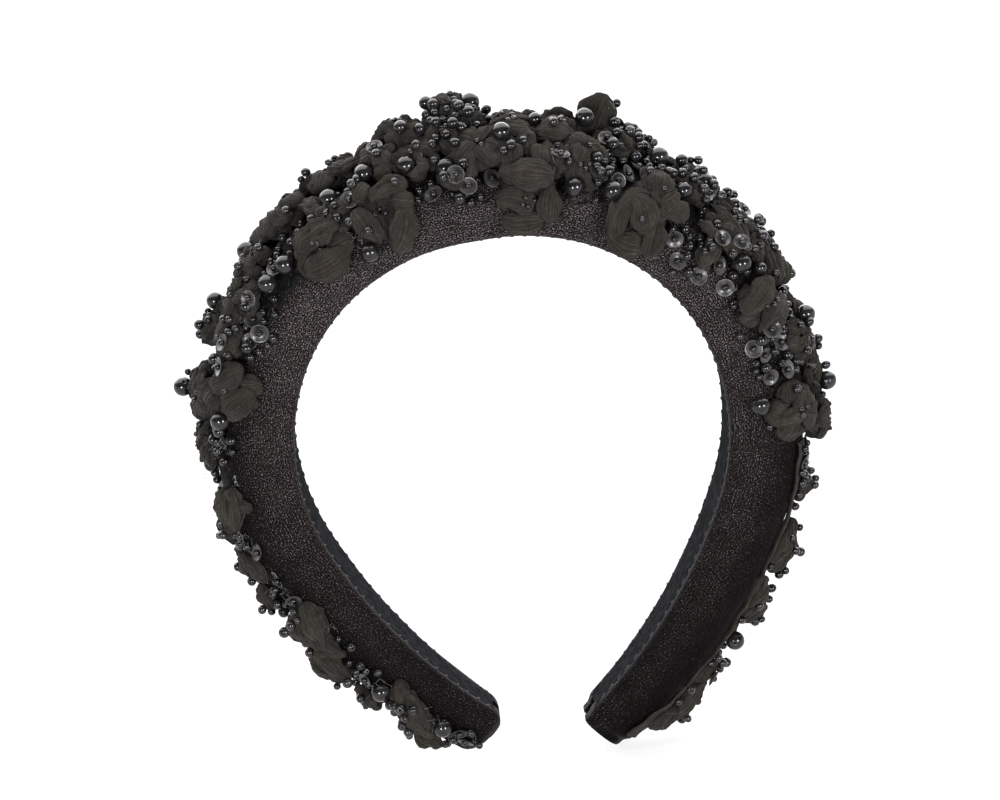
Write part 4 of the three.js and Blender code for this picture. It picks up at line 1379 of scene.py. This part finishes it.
def add_softbox(name, azimuth):
    a, e = math.radians(azimuth), math.radians(SOFTBOX_ELEVATION)
    target = Vector(CAMERA_TARGET)
    back = Vector((math.sin(a) * math.cos(e), -math.cos(a) * math.cos(e), math.sin(e)))
    data = bpy.data.lights.new(name, "AREA")
    data.shape = "DISK"
    data.size = SOFTBOX_SIZE
    data.spread = math.radians(SOFTBOX_SPREAD)
    data.energy = SOFTBOX_POWER
    light = bpy.data.objects.new(name, data)
    light.location = target + back * SOFTBOX_DISTANCE
    light.rotation_mode = "QUATERNION"
    light.rotation_quaternion = (-back).to_track_quat("-Z", "Y")
    bpy.context.scene.collection.objects.link(light)


def make_floor(height):
    mesh = bpy.data.meshes.new("floor")
    corners = [(-1, -1), (1, -1), (1, 1), (-1, 1)]
    points = [(x * FLOOR_HALF, y * FLOOR_HALF, height) for x, y in corners]
    mesh.from_pydata(points, [], [(0, 1, 2, 3)])
    floor = bpy.data.objects.new("floor", mesh)
    bpy.context.scene.collection.objects.link(floor)
    shader = Shader("pale_floor", Roughness=0.9, Specular_IOR_Level=0.0)
    tone = shader.noise(shader.object_mm(0.002), 1.0)
    shader.colour(shader.ramp(tone, [(0.0, (0.19, 0.19, 0.19)), (1.0, (0.21, 0.21, 0.21))]))
    shader.principled.inputs["Emission Color"].default_value = (1, 1, 1, 1)
    shader.principled.inputs["Emission Strength"].default_value = FLOOR_GLOW
    mesh.materials.append(shader.material)


def make_world():
    """A big soft white ceiling above and behind the object, in a dim room with a low white wall."""
    world = bpy.data.worlds.new("studio")
    bpy.context.scene.world = world
    world.use_nodes = True
    tree = world.node_tree
    background = tree.nodes["Background"]
    place = tree.nodes.new("ShaderNodeTexCoord")
    share = tree.nodes.new("ShaderNodeVectorMath")
    share.operation = "DOT_PRODUCT"
    share.inputs[1].default_value = LIGHT_WAY
    parts = tree.nodes.new("ShaderNodeSeparateXYZ")
    tree.links.new(place.outputs["Generated"], share.inputs[0])
    tree.links.new(place.outputs["Generated"], parts.inputs[0])
    brightest = tree.nodes.new("ShaderNodeMath")
    brightest.operation = "MAXIMUM"
    sources = (share.outputs["Value"], WORLD_FADE), (parts.outputs["Z"], WALL_FADE)
    for slot, (source, spread) in enumerate(sources):
        fade = tree.nodes.new("ShaderNodeMapRange")
        fade.interpolation_type = "SMOOTHSTEP"
        for socket, value in zip(("From Min", "From Max", "To Min", "To Max"), spread):
            fade.inputs[socket].default_value = value
        tree.links.new(source, fade.inputs["Value"])
        tree.links.new(fade.outputs[0], brightest.inputs[slot])
    tree.links.new(brightest.outputs[0], background.inputs["Strength"])
    background.inputs["Color"].default_value = (1, 1, 1, 1)


make_camera()
make_foam()
make_velvet()
make_lining()
make_stitches(-1, "stitches_front", "lining_thread_front")
make_stitches(1, "stitches_back", "lining_thread_back")
make_net()
make_ruffle()
make_roses()
make_filling_roses()
make_petals()
make_loose_petals()
make_pearls()
cloth_names = ["velvet_shell", "net", "ruffle", "filling_roses", "loose_petals"]
cloth_names += [f"rose_{number + 1:02d}" for number in range(len(ROSES))]
cloth_names += [f"folded_petal_{number + 1:02d}" for number in range(len(PETALS))]
bead_layer = Beads(Ground(cloth_names), random.Random(9))
seed_beads = Pile()
make_sequins(bead_layer, seed_beads)
make_beads(bead_layer, seed_beads)
make_fibres()
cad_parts["band_core"].data.materials.clear()
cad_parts["band_core"].data.materials.append(PLASTIC)

make_floor(CAD_BOX[0].z - FLOOR_GAP)
make_world()
for softbox in SOFTBOXES:
    add_softbox(*softbox)
bpy.context.scene.view_settings.view_transform = "Standard"
